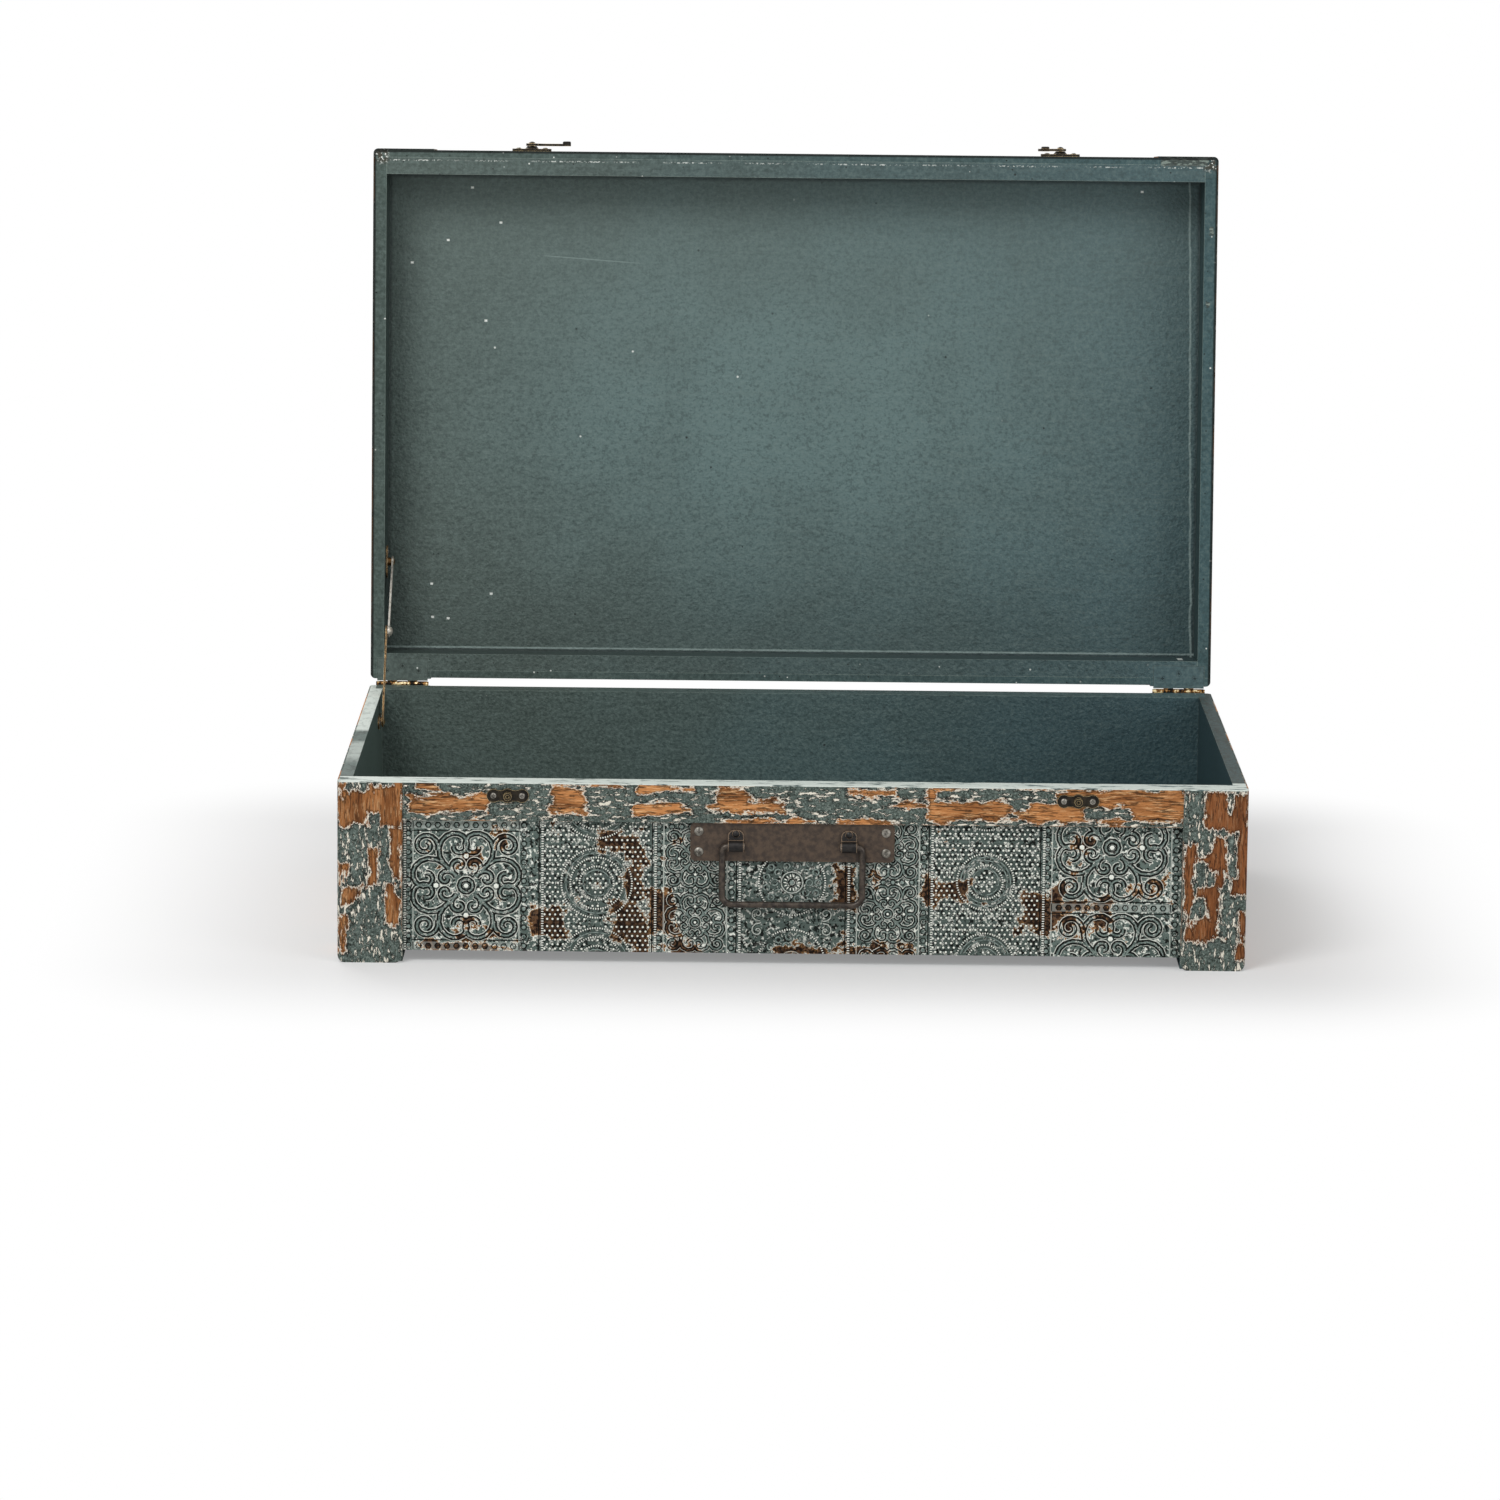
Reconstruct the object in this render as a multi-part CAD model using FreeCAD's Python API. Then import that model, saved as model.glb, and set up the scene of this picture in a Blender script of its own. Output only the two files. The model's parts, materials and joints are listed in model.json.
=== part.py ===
"""A flat decorative trunk with an embossed sheet front and lid, standing open on its stay.

The case and the lid are shallow board boxes.  Wooden strips frame their fronts and backs, and an
embossed sheet fills the frame on the case front and wraps over the lid between two bands.  Two butt
hinges join the rims at the back, a folding stay on the left wall limits the lid, two swinging hooks
latch over pegs on the case, and a wire bail hangs in two lugs on the handle plate.

Millimetres.  X runs to the right, Y to the back, Z up.  Everything is laid out about the middle of
the case, with the lid closed.  The lid is then turned open about its hinge pins, and the whole trunk
is moved so that the origin lies on the floor under the middle of its overall box.
"""
import FreeCAD, Part
import math
import os
from FreeCAD import Vector

os.makedirs("parts", exist_ok=True)

# ---- case and lid -------------------------------------------------------------------------------
CASE_WIDTH = 700.0          # outside, over the side boards
CASE_DEPTH = 440.0          # outside, over the posts
CASE_HEIGHT = 142.0         # floor to rim
LID_HEIGHT = 64.0           # rim to the top of the bands
SEAM_GAP = 1.0              # between the two rims when the lid is closed
OPEN_ANGLE = 95.5           # degrees, where the stay stops the lid

SIDE_BOARD_T = 11.0
FRONT_BOARD_T = 14.0
BOTTOM_T = 6.0
LID_TOP_T = 6.0
SHEET_T = 1.6               # the embossed sheet with its relief
FLOOR_GAP = 9.0             # floor to the underside of the front board and the bottom panel

# ---- strips on the outside ----------------------------------------------------------------------
POST_WIDTH = 50.0
POST_T = 7.0
RAIL_T = 6.0
CASE_RAIL_HEIGHT = 30.0
LID_RAIL_HEIGHT = 20.0
BAND_PROUD = 5.5            # top band above the embossed sheet
POST_EDGE_R = 4.0           # upright outer edges of the posts
FOOT_R = 6.0                # lower corners of the posts and side boards
BAND_EDGE_R = 3.0
SHEET_BEND_R = 7.0          # outside of the sheet where it turns down over the lid's edge

# ---- hinges -------------------------------------------------------------------------------------
PIN_BEHIND = 4.3            # pin axis behind the back posts
PIN_R = 1.1
PIN_HEAD_R = 1.9
PIN_HEAD_T = 0.8
KNUCKLE_R = 2.3
KNUCKLE_COUNT = 5
KNUCKLE_GAP = 0.2
HINGE_WIDTH = 42.0
HINGE_FROM_SIDE = 5.5       # outer end of the hinge from the side of the case
LEAF_T = 1.2
LEAF_REACH = 17.0           # how far the leaf lies on the rim
HINGE_SCREW_X = 13.5        # outer screws from the middle of the leaf
HINGE_SCREW_IN = 6.5        # outer screws from the back face of the posts
HINGE_MIDDLE_SCREW_IN = 10.5
COUNTERSINK_DEPTH = 1.1

# ---- catches ------------------------------------------------------------------------------------
CATCH_FROM_SIDE = 131.0     # catch pivot from the side of the case
CATCH_ABOVE_RIM = 6.5       # catch pivot above the lid's rim
PEG_BELOW_RIM = 10.0        # peg below the case's rim
CATCH_SCREW_X = 11.0
CATCH_LOBE_R = 5.2
CATCH_WAIST_H = 8.4
CATCH_PLATE_T = 2.0
CATCH_BOSS_H = 2.2
CATCH_BOSS_R = 5.6
CATCH_BOSS_TOP_R = 3.8
RIVET_R = 1.6
RIVET_HEAD_R = 3.0
RIVET_HEAD_H = 1.5
HOOK_T = 2.0
HOOK_EYE_R = 4.8
HOOK_BAND_W = 4.4
HOOK_ARC_R = 14.2           # centre line of the hook's curve
HOOK_ARC_X = -4.3           # centre of that curve, from the pivot
HOOK_ARC_Z = -15.9
HOOK_ARC_START = 62.0       # degrees, where the curve leaves the eye
HOOK_ARC_END = -66.0        # degrees, where it ends under the peg
HOOK_TIP_R = 3.4
HOOK_TIP_T = 4.0
HOOK_TIP_EDGE_R = 1.0
PEG_R = 3.0
PEG_H = 5.0
PEG_BORE_R = 1.3
PEG_BORE_FLOOR = 2.0        # metal left under the bore, above the plate
HOOK_SWING = 200.0          # degrees a hook turns, from latched to folded back
LEFT_HOOK_ANGLE = 90.0      # degrees away from latched
RIGHT_HOOK_ANGLE = HOOK_SWING

# ---- handle -------------------------------------------------------------------------------------
HANDLE_PLATE_W = 157.0
HANDLE_PLATE_H = 30.0
HANDLE_PLATE_T = 2.0
HANDLE_PLATE_R = 4.0
HANDLE_SCREW_IN = 6.5       # screw from the plate's short edge
HANDLE_SCREW_Z = 8.0        # screw above and below the plate's middle
LUG_X = 43.5
LUG_W = 12.0
LUG_WALL = 1.7
LUG_TAB_H = 12.5            # from the bail's axis to the top of the lug's tab
LUG_TAB_T = 1.7
LUG_TAB_R = 5.0             # rounded top of the tab
LUG_RIVET_R = 3.0
LUG_RIVET_H = 1.8
BAIL_R = 2.5
BAIL_WIDTH = 113.0          # over the wire
BAIL_DROP = 45.5            # axis of the pivots to the middle of the grip
BAIL_AXIS_UP = 12.0         # axis above the plate's lower edge
BAIL_BEND_R = 8.0
BAIL_TOP_BEND_R = 4.2
BAIL_END = 0.6              # wire end past the lug
BAIL_STANDOFF = 0.6         # bail clear of the handle plate

# ---- folding stay, on the left wall -------------------------------------------------------------
STAY_ARM_T = 1.4
STAY_ARM_W = 8.0
STAY_EYE_R = 4.8
STAY_LAYER_GAP = 0.4
STAY_CASE_BACK = 70.0       # lower pivot in front of the back posts' face
STAY_CASE_DOWN = 18.4       # lower pivot below the case's rim
STAY_LID_BACK = 95.9        # upper pivot in front of the back posts' face, lid closed
STAY_LID_UP = 29.7          # upper pivot above the lid's rim, lid closed
STAY_LOWER_LEN = 86.5
STAY_UPPER_LEN = 76.5
STAY_PLATE_T = 1.2
STAY_PLATE_H = 10.4
STAY_SCREW_SPACING = 17.0
STAY_STUD_R = 2.0
STAY_HEAD_R = 3.4
STAY_HEAD_T = 1.1
ELBOW_HEAD_R = 4.2
ELBOW_HEAD_T = 2.8

# ---- screws -------------------------------------------------------------------------------------
SMALL_SCREW_R = 1.1
SMALL_HEAD_R = 2.5
SMALL_HEAD_T = 1.1
SMALL_SCREW_LEN = 9.0
HANDLE_SCREW_R = 1.6
HANDLE_HEAD_R = 3.7
HANDLE_HEAD_T = 1.6
HANDLE_SCREW_LEN = 13.0
HINGE_HEAD_R = 2.2
CROSS_W = 0.7               # slot of the cross recess
CROSS_DEPTH = 0.6
CROSS_SPAN = 1.1            # slot length as a share of the head's radius
POINT_SHARE = 0.25          # radius of a screw's point as a share of its shank

# ---- clearances ---------------------------------------------------------------------------------
RUNNING_FIT = 0.05          # radial, round pins, rivets and studs that turn
SCREW_FIT = 0.05            # radial, screws in their holes
LEAF_FIT = 0.15             # hinge leaf in its mortise
FACE_FIT = 0.15             # flat faces that slide past each other
OVERCUT = 1.0               # how far a cutter runs past the face it opens

# ---- places that follow from the sizes ----------------------------------------------------------
HALF_W = CASE_WIDTH / 2
HALF_D = CASE_DEPTH / 2
INNER_X = HALF_W - SIDE_BOARD_T
POST_IN = HALF_W - POST_WIDTH
CORE_Y = HALF_D - POST_T                    # outer face of the front and back boards
RAIL_Y = CORE_Y + RAIL_T
SHEET_Y = CORE_Y + SHEET_T
INNER_Y = CORE_Y - FRONT_BOARD_T
RIM_Z = CASE_HEIGHT
LID_RIM_Z = CASE_HEIGHT + SEAM_GAP
LID_TOP_Z = LID_RIM_Z + LID_HEIGHT
LID_SHEET_Z = LID_TOP_Z - BAND_PROUD
LID_CORE_Z = LID_SHEET_Z - SHEET_T          # upper face of the lid's top board
PIN_Y = HALF_D + PIN_BEHIND
PIN_Z = CASE_HEIGHT + SEAM_GAP / 2
PEG_Z = RIM_Z - PEG_BELOW_RIM
CATCH_X = HALF_W - CATCH_FROM_SIDE
CATCH_Z = LID_RIM_Z + CATCH_ABOVE_RIM
SIDES = (("left", -1), ("right", 1))
ENDS = (("front", -1), ("back", 1))
X_AXIS = Vector(1, 0, 0)
Y_AXIS = Vector(0, 1, 0)
Z_AXIS = Vector(0, 0, 1)

nodes = {}
bodies = {}


def add(body, name, shape):
    """Keep a finished piece under its node name and its moving body."""
    nodes[name] = shape
    bodies.setdefault(body, []).append(name)


# ---- small helpers ------------------------------------------------------------------------------
def block(x0, x1, y0, y1, z0, z1):
    """Box between two corners, given in any order."""
    low = Vector(min(x0, x1), min(y0, y1), min(z0, z1))
    return Part.makeBox(abs(x1 - x0), abs(y1 - y0), abs(z1 - z0), low)


def rod(radius, start, end):
    """Round bar from one point to another."""
    return Part.makeCylinder(radius, (end - start).Length, start, end - start)


def cone(radius0, radius1, start, end):
    """Cone from one point to another."""
    return Part.makeCone(radius0, radius1, (end - start).Length, start, end - start)


def dome(radius, height, base, direction):
    """Shallow round rivet head: a slice of a ball standing on its base circle."""
    ball_r = (radius ** 2 + height ** 2) / (2 * height)
    centre = base - direction * (ball_r - height)
    ball = Part.makeSphere(ball_r, centre)
    return ball.common(Part.makeCylinder(radius, height, base, direction))


def edges_at(shape, test):
    """Edges whose both ends and middle pass the test."""
    found = []
    for edge in shape.Edges:
        spots = [vertex.Point for vertex in edge.Vertexes]
        spots.append(edge.CenterOfMass)
        if all(test(spot) for spot in spots):
            found.append(edge)
    return found


def near(value, target):
    """True when two lengths are the same."""
    return abs(value - target) < 0.01


def screw(place, outward, head_r, head_t, shank_r, length):
    """Round-headed wood screw with a cross recess; place is where the head sits."""
    tip = place - outward * length
    tip_start = place - outward * (length - 2 * shank_r)
    shape = rod(shank_r, place, tip_start)
    shape = shape.fuse(cone(shank_r, shank_r * POINT_SHARE, tip_start, tip))
    shape = shape.fuse(dome(head_r, head_t, place, outward))
    top = place + outward * (head_t - CROSS_DEPTH / 2)
    side = outward.cross(X_AXIS)
    if near(side.Length, 0):
        side = outward.cross(Y_AXIS)
    across = outward.cross(side)
    for run in (side, across):
        shape = shape.cut(slot_cutter(top, run, outward.cross(run), head_r))
    return shape.removeSplitter()


def slot_cutter(centre, along, across, head_r):
    """Short slot of a cross recess."""
    half = head_r * CROSS_SPAN / 2
    normal = along.cross(across)
    start = centre - along * half - across * (CROSS_W / 2) - normal * (CROSS_DEPTH / 2)
    corner = [start, start + along * (2 * half)]
    corner.append(corner[1] + across * CROSS_W)
    corner.append(start + across * CROSS_W)
    face = Part.Face(Part.makePolygon(corner + [start]))
    return face.extrude(normal * (CROSS_DEPTH * 2))


def screw_hole(place, outward, shank_r, length):
    """Clearance hole for a screw, open at the head's seat."""
    radius = shank_r + SCREW_FIT
    return rod(radius, place + outward * OVERCUT, place - outward * (length + SCREW_FIT))


def small_hole(place, outward):
    """Clearance hole for one of the small screws."""
    return screw_hole(place, outward, SMALL_SCREW_R, SMALL_SCREW_LEN)


# ---- hinges -------------------------------------------------------------------------------------
def hinge_middle(side):
    """X of the middle of a hinge."""
    return side * (HALF_W - HINGE_FROM_SIDE - HINGE_WIDTH / 2)


def knuckle_spans(side):
    """Start and end of each knuckle along X, in order from the left."""
    start = hinge_middle(side) - HINGE_WIDTH / 2
    pitch = HINGE_WIDTH / KNUCKLE_COUNT
    spans = []
    for index in range(KNUCKLE_COUNT):
        low = start + index * pitch + KNUCKLE_GAP / 2
        spans.append((low, low + pitch - KNUCKLE_GAP))
    return spans


def hinge_screw_places(side, z):
    """Three screws along the leaf, the middle one further in."""
    middle = hinge_middle(side)
    return [Vector(middle - HINGE_SCREW_X, HALF_D - HINGE_SCREW_IN, z),
            Vector(middle, HALF_D - HINGE_MIDDLE_SCREW_IN, z),
            Vector(middle + HINGE_SCREW_X, HALF_D - HINGE_SCREW_IN, z)]


def leaf_box(side, z0, z1, fit):
    """The flat of a leaf on its rim, grown by a fit for the mortise."""
    middle = hinge_middle(side)
    half = HINGE_WIDTH / 2 + fit
    front = HALF_D - LEAF_REACH - fit
    return block(middle - half, middle + half, front, HALF_D + OVERCUT, z0, z1)


def hinge_leaf(side, lid):
    """One leaf with its knuckles: outer and middle knuckles on the case, the others on the lid."""
    up = 1 if lid else -1
    rim = LID_RIM_Z if lid else RIM_Z
    far = rim + up * LEAF_T
    middle = hinge_middle(side)
    flat_end = PIN_Y - KNUCKLE_R - 2 * KNUCKLE_GAP
    shape = block(middle - HINGE_WIDTH / 2, middle + HINGE_WIDTH / 2,
                  HALF_D - LEAF_REACH, flat_end, rim, far)
    for index, (low, high) in enumerate(knuckle_spans(side)):
        if (index % 2 == 1) != lid:
            continue
        shape = shape.fuse(block(low, high, flat_end, PIN_Y, rim, far))
        shape = shape.fuse(rod(KNUCKLE_R, Vector(low, PIN_Y, PIN_Z), Vector(high, PIN_Y, PIN_Z)))
    bore = PIN_R + RUNNING_FIT
    shape = shape.cut(rod(bore, Vector(-HALF_W, PIN_Y, PIN_Z), Vector(HALF_W, PIN_Y, PIN_Z)))
    outward = Z_AXIS * -up
    for place in hinge_screw_places(side, rim):
        shape = shape.cut(countersink(place, outward, SCREW_FIT))
        shape = shape.cut(small_hole(place, outward))
    return shape.removeSplitter()


def countersink(place, outward, fit):
    """Countersunk head, flush with the leaf's face at place."""
    deep = place - outward * COUNTERSINK_DEPTH
    return cone(SMALL_SCREW_R + fit, HINGE_HEAD_R + fit, deep, place)


def hinge_screw(place, outward):
    """Countersunk screw, flush with the leaf."""
    tip = place - outward * SMALL_SCREW_LEN
    shape = rod(SMALL_SCREW_R, place - outward * COUNTERSINK_DEPTH, tip)
    shape = shape.fuse(countersink(place, outward, 0))
    top = place - outward * (CROSS_DEPTH / 2)
    for run, across in ((X_AXIS, Y_AXIS), (Y_AXIS, X_AXIS)):
        shape = shape.cut(slot_cutter(top, run, across, HINGE_HEAD_R))
    return shape.removeSplitter()


def hinge_pin(side):
    """Pin through the knuckles with a small head at each end."""
    start = hinge_middle(side) - HINGE_WIDTH / 2
    end = start + HINGE_WIDTH
    left = Vector(start, PIN_Y, PIN_Z)
    right = Vector(end, PIN_Y, PIN_Z)
    head = X_AXIS * PIN_HEAD_T
    shape = rod(PIN_R, left, right)
    shape = shape.fuse(rod(PIN_HEAD_R, left - head, left))
    return shape.fuse(rod(PIN_HEAD_R, right, right + head)).removeSplitter()


def mortises(shape, lid):
    """Cut the leaf mortises and hinge screw holes out of a rim piece."""
    up = 1 if lid else -1
    rim = LID_RIM_Z if lid else RIM_Z
    for _, side in SIDES:
        shape = shape.cut(leaf_box(side, rim - up * OVERCUT, rim + up * LEAF_T, LEAF_FIT))
        for place in hinge_screw_places(side, rim):
            shape = shape.cut(small_hole(place, Z_AXIS * -up))
    return shape


# ---- catches ------------------------------------------------------------------------------------
def catch_screw_places(side, y, z):
    """The two screws of a catch plate or striker."""
    return [Vector(side * CATCH_X + dx, y, z) for dx in (-CATCH_SCREW_X, CATCH_SCREW_X)]


def lobed_plate(side, z):
    """Small plate with a round lobe at each screw and a wider middle."""
    y_back = -RAIL_Y
    y_front = y_back - CATCH_PLATE_T
    middle = side * CATCH_X
    shape = block(middle - CATCH_SCREW_X, middle + CATCH_SCREW_X, y_front, y_back,
                  z - CATCH_WAIST_H / 2, z + CATCH_WAIST_H / 2)
    for dx in (-CATCH_SCREW_X, 0, CATCH_SCREW_X):
        start = Vector(middle + dx, y_back, z)
        radius = CATCH_LOBE_R if dx else CATCH_BOSS_R
        shape = shape.fuse(rod(radius, start, start - Y_AXIS * CATCH_PLATE_T))
    for place in catch_screw_places(side, y_front, z):
        shape = shape.cut(small_hole(place, -Y_AXIS))
    return shape.removeSplitter()


def catch_plate(side):
    """Plate on the lid with the raised boss that the hook turns on."""
    start = Vector(side * CATCH_X, -RAIL_Y - CATCH_PLATE_T, CATCH_Z)
    top = start - Y_AXIS * CATCH_BOSS_H
    shape = lobed_plate(side, CATCH_Z).fuse(cone(CATCH_BOSS_R, CATCH_BOSS_TOP_R, start, top))
    back = start + Y_AXIS * (CATCH_PLATE_T + OVERCUT)
    return shape.cut(rod(RIVET_R + RUNNING_FIT, back, top - Y_AXIS * OVERCUT)).removeSplitter()


def hook_back_y():
    """Back face of a hook, just clear of its boss."""
    return -RAIL_Y - CATCH_PLATE_T - CATCH_BOSS_H - FACE_FIT


def catch_rivet(side):
    """Rivet from the plate through the hook's eye, with a domed head."""
    back = Vector(side * CATCH_X, -RAIL_Y - FACE_FIT, CATCH_Z)
    seat = Vector(side * CATCH_X, hook_back_y() - HOOK_T - FACE_FIT, CATCH_Z)
    return rod(RIVET_R, back, seat).fuse(dome(RIVET_HEAD_R, RIVET_HEAD_H, seat, -Y_AXIS)).removeSplitter()


def ring_point(radius, angle):
    """Point on a circle about the centre of the hook's curve, in the hook's own X and Z."""
    turn = math.radians(angle)
    return Vector(HOOK_ARC_X + radius * math.cos(turn), 0, HOOK_ARC_Z + radius * math.sin(turn))


def hook_curve():
    """The curved band of the hook as a flat plate, from its eye to under the peg."""
    outer = HOOK_ARC_R + HOOK_BAND_W / 2
    inner = HOOK_ARC_R - HOOK_BAND_W / 2
    half_way = (HOOK_ARC_START + HOOK_ARC_END) / 2
    outer_arc = Part.Arc(ring_point(outer, HOOK_ARC_START), ring_point(outer, half_way),
                         ring_point(outer, HOOK_ARC_END))
    inner_arc = Part.Arc(ring_point(inner, HOOK_ARC_END), ring_point(inner, half_way),
                         ring_point(inner, HOOK_ARC_START))
    end_cap = Part.LineSegment(ring_point(outer, HOOK_ARC_END), ring_point(inner, HOOK_ARC_END))
    start_cap = Part.LineSegment(ring_point(inner, HOOK_ARC_START),
                                 ring_point(outer, HOOK_ARC_START))
    outline = [outer_arc, end_cap, inner_arc, start_cap]
    face = Part.Face(Part.Wire([curve.toShape() for curve in outline]))
    return face.extrude(-Y_AXIS * HOOK_T)


def catch_hook(side, away):
    """Swinging hook, turned away from its latched place by an angle in degrees."""
    eye = rod(HOOK_EYE_R, Vector(0, 0, 0), -Y_AXIS * HOOK_T)
    tip_at = ring_point(HOOK_ARC_R, HOOK_ARC_END)
    tip = rod(HOOK_TIP_R, tip_at, tip_at - Y_AXIS * HOOK_TIP_T)
    tip = tip.makeFillet(HOOK_TIP_EDGE_R, edges_at(tip, lambda p: near(p.y, -HOOK_TIP_T)))
    shape = eye.fuse([hook_curve(), tip])
    bore = rod(RIVET_R + RUNNING_FIT, Y_AXIS * OVERCUT, -Y_AXIS * (HOOK_T + OVERCUT))
    shape = shape.cut(bore).removeSplitter()
    shape.rotate(Vector(0, 0, 0), Y_AXIS, -away)
    shape.translate(Vector(side * CATCH_X, hook_back_y(), CATCH_Z))
    return shape


def striker(side):
    """Plate on the case with the hollow peg that the hook passes under."""
    start = Vector(side * CATCH_X, -RAIL_Y - CATCH_PLATE_T / 2, PEG_Z)
    end = start - Y_AXIS * (PEG_H + CATCH_PLATE_T / 2)
    shape = lobed_plate(side, PEG_Z).fuse(rod(PEG_R, start, end))
    floor = start - Y_AXIS * (CATCH_PLATE_T / 2 + PEG_BORE_FLOOR)
    return shape.cut(rod(PEG_BORE_R, floor, end - Y_AXIS * OVERCUT)).removeSplitter()


def screws_on_front(places, head_r, head_t, shank_r, length):
    """A group of equal screws driven in from the front."""
    return [screw(place, -Y_AXIS, head_r, head_t, shank_r, length) for place in places]


def catch_holes(shape, z):
    """Screw holes of both plates at one height, through whatever lies behind them."""
    for _, side in SIDES:
        for place in catch_screw_places(side, -RAIL_Y - CATCH_PLATE_T, z):
            shape = shape.cut(small_hole(place, -Y_AXIS))
    return shape


# ---- handle -------------------------------------------------------------------------------------
HANDLE_TOP_Z = RIM_Z - CASE_RAIL_HEIGHT
HANDLE_LOW_Z = HANDLE_TOP_Z - HANDLE_PLATE_H
HANDLE_MID_Z = HANDLE_TOP_Z - HANDLE_PLATE_H / 2
HANDLE_FACE_Y = -SHEET_Y - HANDLE_PLATE_T
BAIL_Z = HANDLE_LOW_Z + BAIL_AXIS_UP
BAIL_Y = HANDLE_FACE_Y - BAIL_R - BAIL_STANDOFF
LUG_BORE_R = BAIL_R + RUNNING_FIT


def handle_screw_places():
    """Four screws near the corners of the handle plate."""
    x = HANDLE_PLATE_W / 2 - HANDLE_SCREW_IN
    places = []
    for dx in (-x, x):
        for dz in (-HANDLE_SCREW_Z, HANDLE_SCREW_Z):
            places.append(Vector(dx, HANDLE_FACE_Y, HANDLE_MID_Z + dz))
    return places


def handle_holes(shape):
    """Holes for the handle's screws."""
    for place in handle_screw_places():
        shape = shape.cut(screw_hole(place, -Y_AXIS, HANDLE_SCREW_R, HANDLE_SCREW_LEN))
    return shape


def lug_rivet_place(side):
    """Seat of the rivet that holds a lug's tab to the plate."""
    return Vector(side * LUG_X, HANDLE_FACE_Y - LUG_TAB_T, BAIL_Z + LUG_TAB_H - LUG_RIVET_R)


def lug_rivet_hole(side):
    """Hole for a lug's rivet through its tab and the plate."""
    seat = lug_rivet_place(side)
    back = Vector(seat.x, -SHEET_Y + OVERCUT, seat.z)
    return rod(RIVET_R + SCREW_FIT, seat - Y_AXIS * OVERCUT, back)


def handle_plate():
    """Back plate with rounded corners."""
    shape = block(-HANDLE_PLATE_W / 2, HANDLE_PLATE_W / 2, HANDLE_FACE_Y, -SHEET_Y,
                  HANDLE_LOW_Z, HANDLE_TOP_Z)
    corners = edges_at(shape, lambda p: near(abs(p.x), HANDLE_PLATE_W / 2)
                       and (near(p.z, HANDLE_LOW_Z) or near(p.z, HANDLE_TOP_Z)))
    shape = shape.makeFillet(HANDLE_PLATE_R, corners)
    shape = handle_holes(shape)
    for _, side in SIDES:
        shape = shape.cut(lug_rivet_hole(side))
    return shape.removeSplitter()


def handle_lug(side):
    """Strap bent round the bail's end, with a tab riveted to the plate."""
    outer = LUG_BORE_R + LUG_WALL
    x0 = side * LUG_X - LUG_W / 2
    x1 = x0 + LUG_W
    left = Vector(x0, BAIL_Y, BAIL_Z)
    right = Vector(x1, BAIL_Y, BAIL_Z)
    strap = rod(outer, left, right)
    strap = strap.fuse(block(x0, x1, BAIL_Y, HANDLE_FACE_Y, BAIL_Z - outer, BAIL_Z + outer))
    behind = block(x0, x1, HANDLE_FACE_Y, HALF_D, BAIL_Z - outer, BAIL_Z + outer)
    strap = strap.cut(behind)
    tab_top = BAIL_Z + LUG_TAB_H
    tab = block(x0, x1, HANDLE_FACE_Y - LUG_TAB_T, HANDLE_FACE_Y, BAIL_Z, tab_top)
    corners = edges_at(tab, lambda p: near(p.z, tab_top) and (near(p.x, x0) or near(p.x, x1)))
    shape = strap.fuse(tab.makeFillet(LUG_TAB_R, corners))
    shape = shape.cut(rod(LUG_BORE_R, left - X_AXIS * OVERCUT, right + X_AXIS * OVERCUT))
    return shape.cut(lug_rivet_hole(side)).removeSplitter()


def lug_rivet(side):
    """Domed rivet through a lug's tab and the plate."""
    seat = lug_rivet_place(side)
    end = Vector(seat.x, -SHEET_Y - FACE_FIT, seat.z)
    head = dome(LUG_RIVET_R, LUG_RIVET_H, seat, -Y_AXIS)
    return rod(RIVET_R, seat, end).fuse(head).removeSplitter()


def bent_wire(spots, bends):
    """Wire through the spots, with a tangent arc of the given radius at each inner spot."""
    edges = []
    here = spots[0]
    for before, corner, after, bend in zip(spots, spots[1:], spots[2:], bends):
        to_before = (before - corner).normalize()
        to_after = (after - corner).normalize()
        start = corner + to_before * bend
        middle = corner + (to_before + to_after) * (bend * (1 - math.sqrt(0.5)))
        end = corner + to_after * bend
        edges.append(Part.LineSegment(here, start).toShape())
        edges.append(Part.Arc(start, middle, end).toShape())
        here = end
    edges.append(Part.LineSegment(here, spots[-1]).toShape())
    return Part.Wire(edges)


def bail():
    """Wire handle: two ends in the lugs, two legs and a straight grip."""
    leg_x = BAIL_WIDTH / 2 - BAIL_R
    end_x = LUG_X - LUG_W / 2 - BAIL_END
    low_z = BAIL_Z - BAIL_DROP
    spots = [Vector(-end_x, BAIL_Y, BAIL_Z), Vector(-leg_x, BAIL_Y, BAIL_Z),
             Vector(-leg_x, BAIL_Y, low_z), Vector(leg_x, BAIL_Y, low_z),
             Vector(leg_x, BAIL_Y, BAIL_Z), Vector(end_x, BAIL_Y, BAIL_Z)]
    path = bent_wire(spots, [BAIL_TOP_BEND_R, BAIL_BEND_R, BAIL_BEND_R, BAIL_TOP_BEND_R])
    profile = Part.Wire(Part.makeCircle(BAIL_R, spots[0], X_AXIS))
    return path.makePipeShell([profile], True, False)


# ---- folding stay -------------------------------------------------------------------------------
def turned_open(point):
    """Where a point of the closed lid lies when the lid is open."""
    turn = math.radians(OPEN_ANGLE)
    dy = point.y - PIN_Y
    dz = point.z - PIN_Z
    return Vector(point.x, PIN_Y + dy * math.cos(turn) + dz * math.sin(turn),
                  PIN_Z - dy * math.sin(turn) + dz * math.cos(turn))


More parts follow.
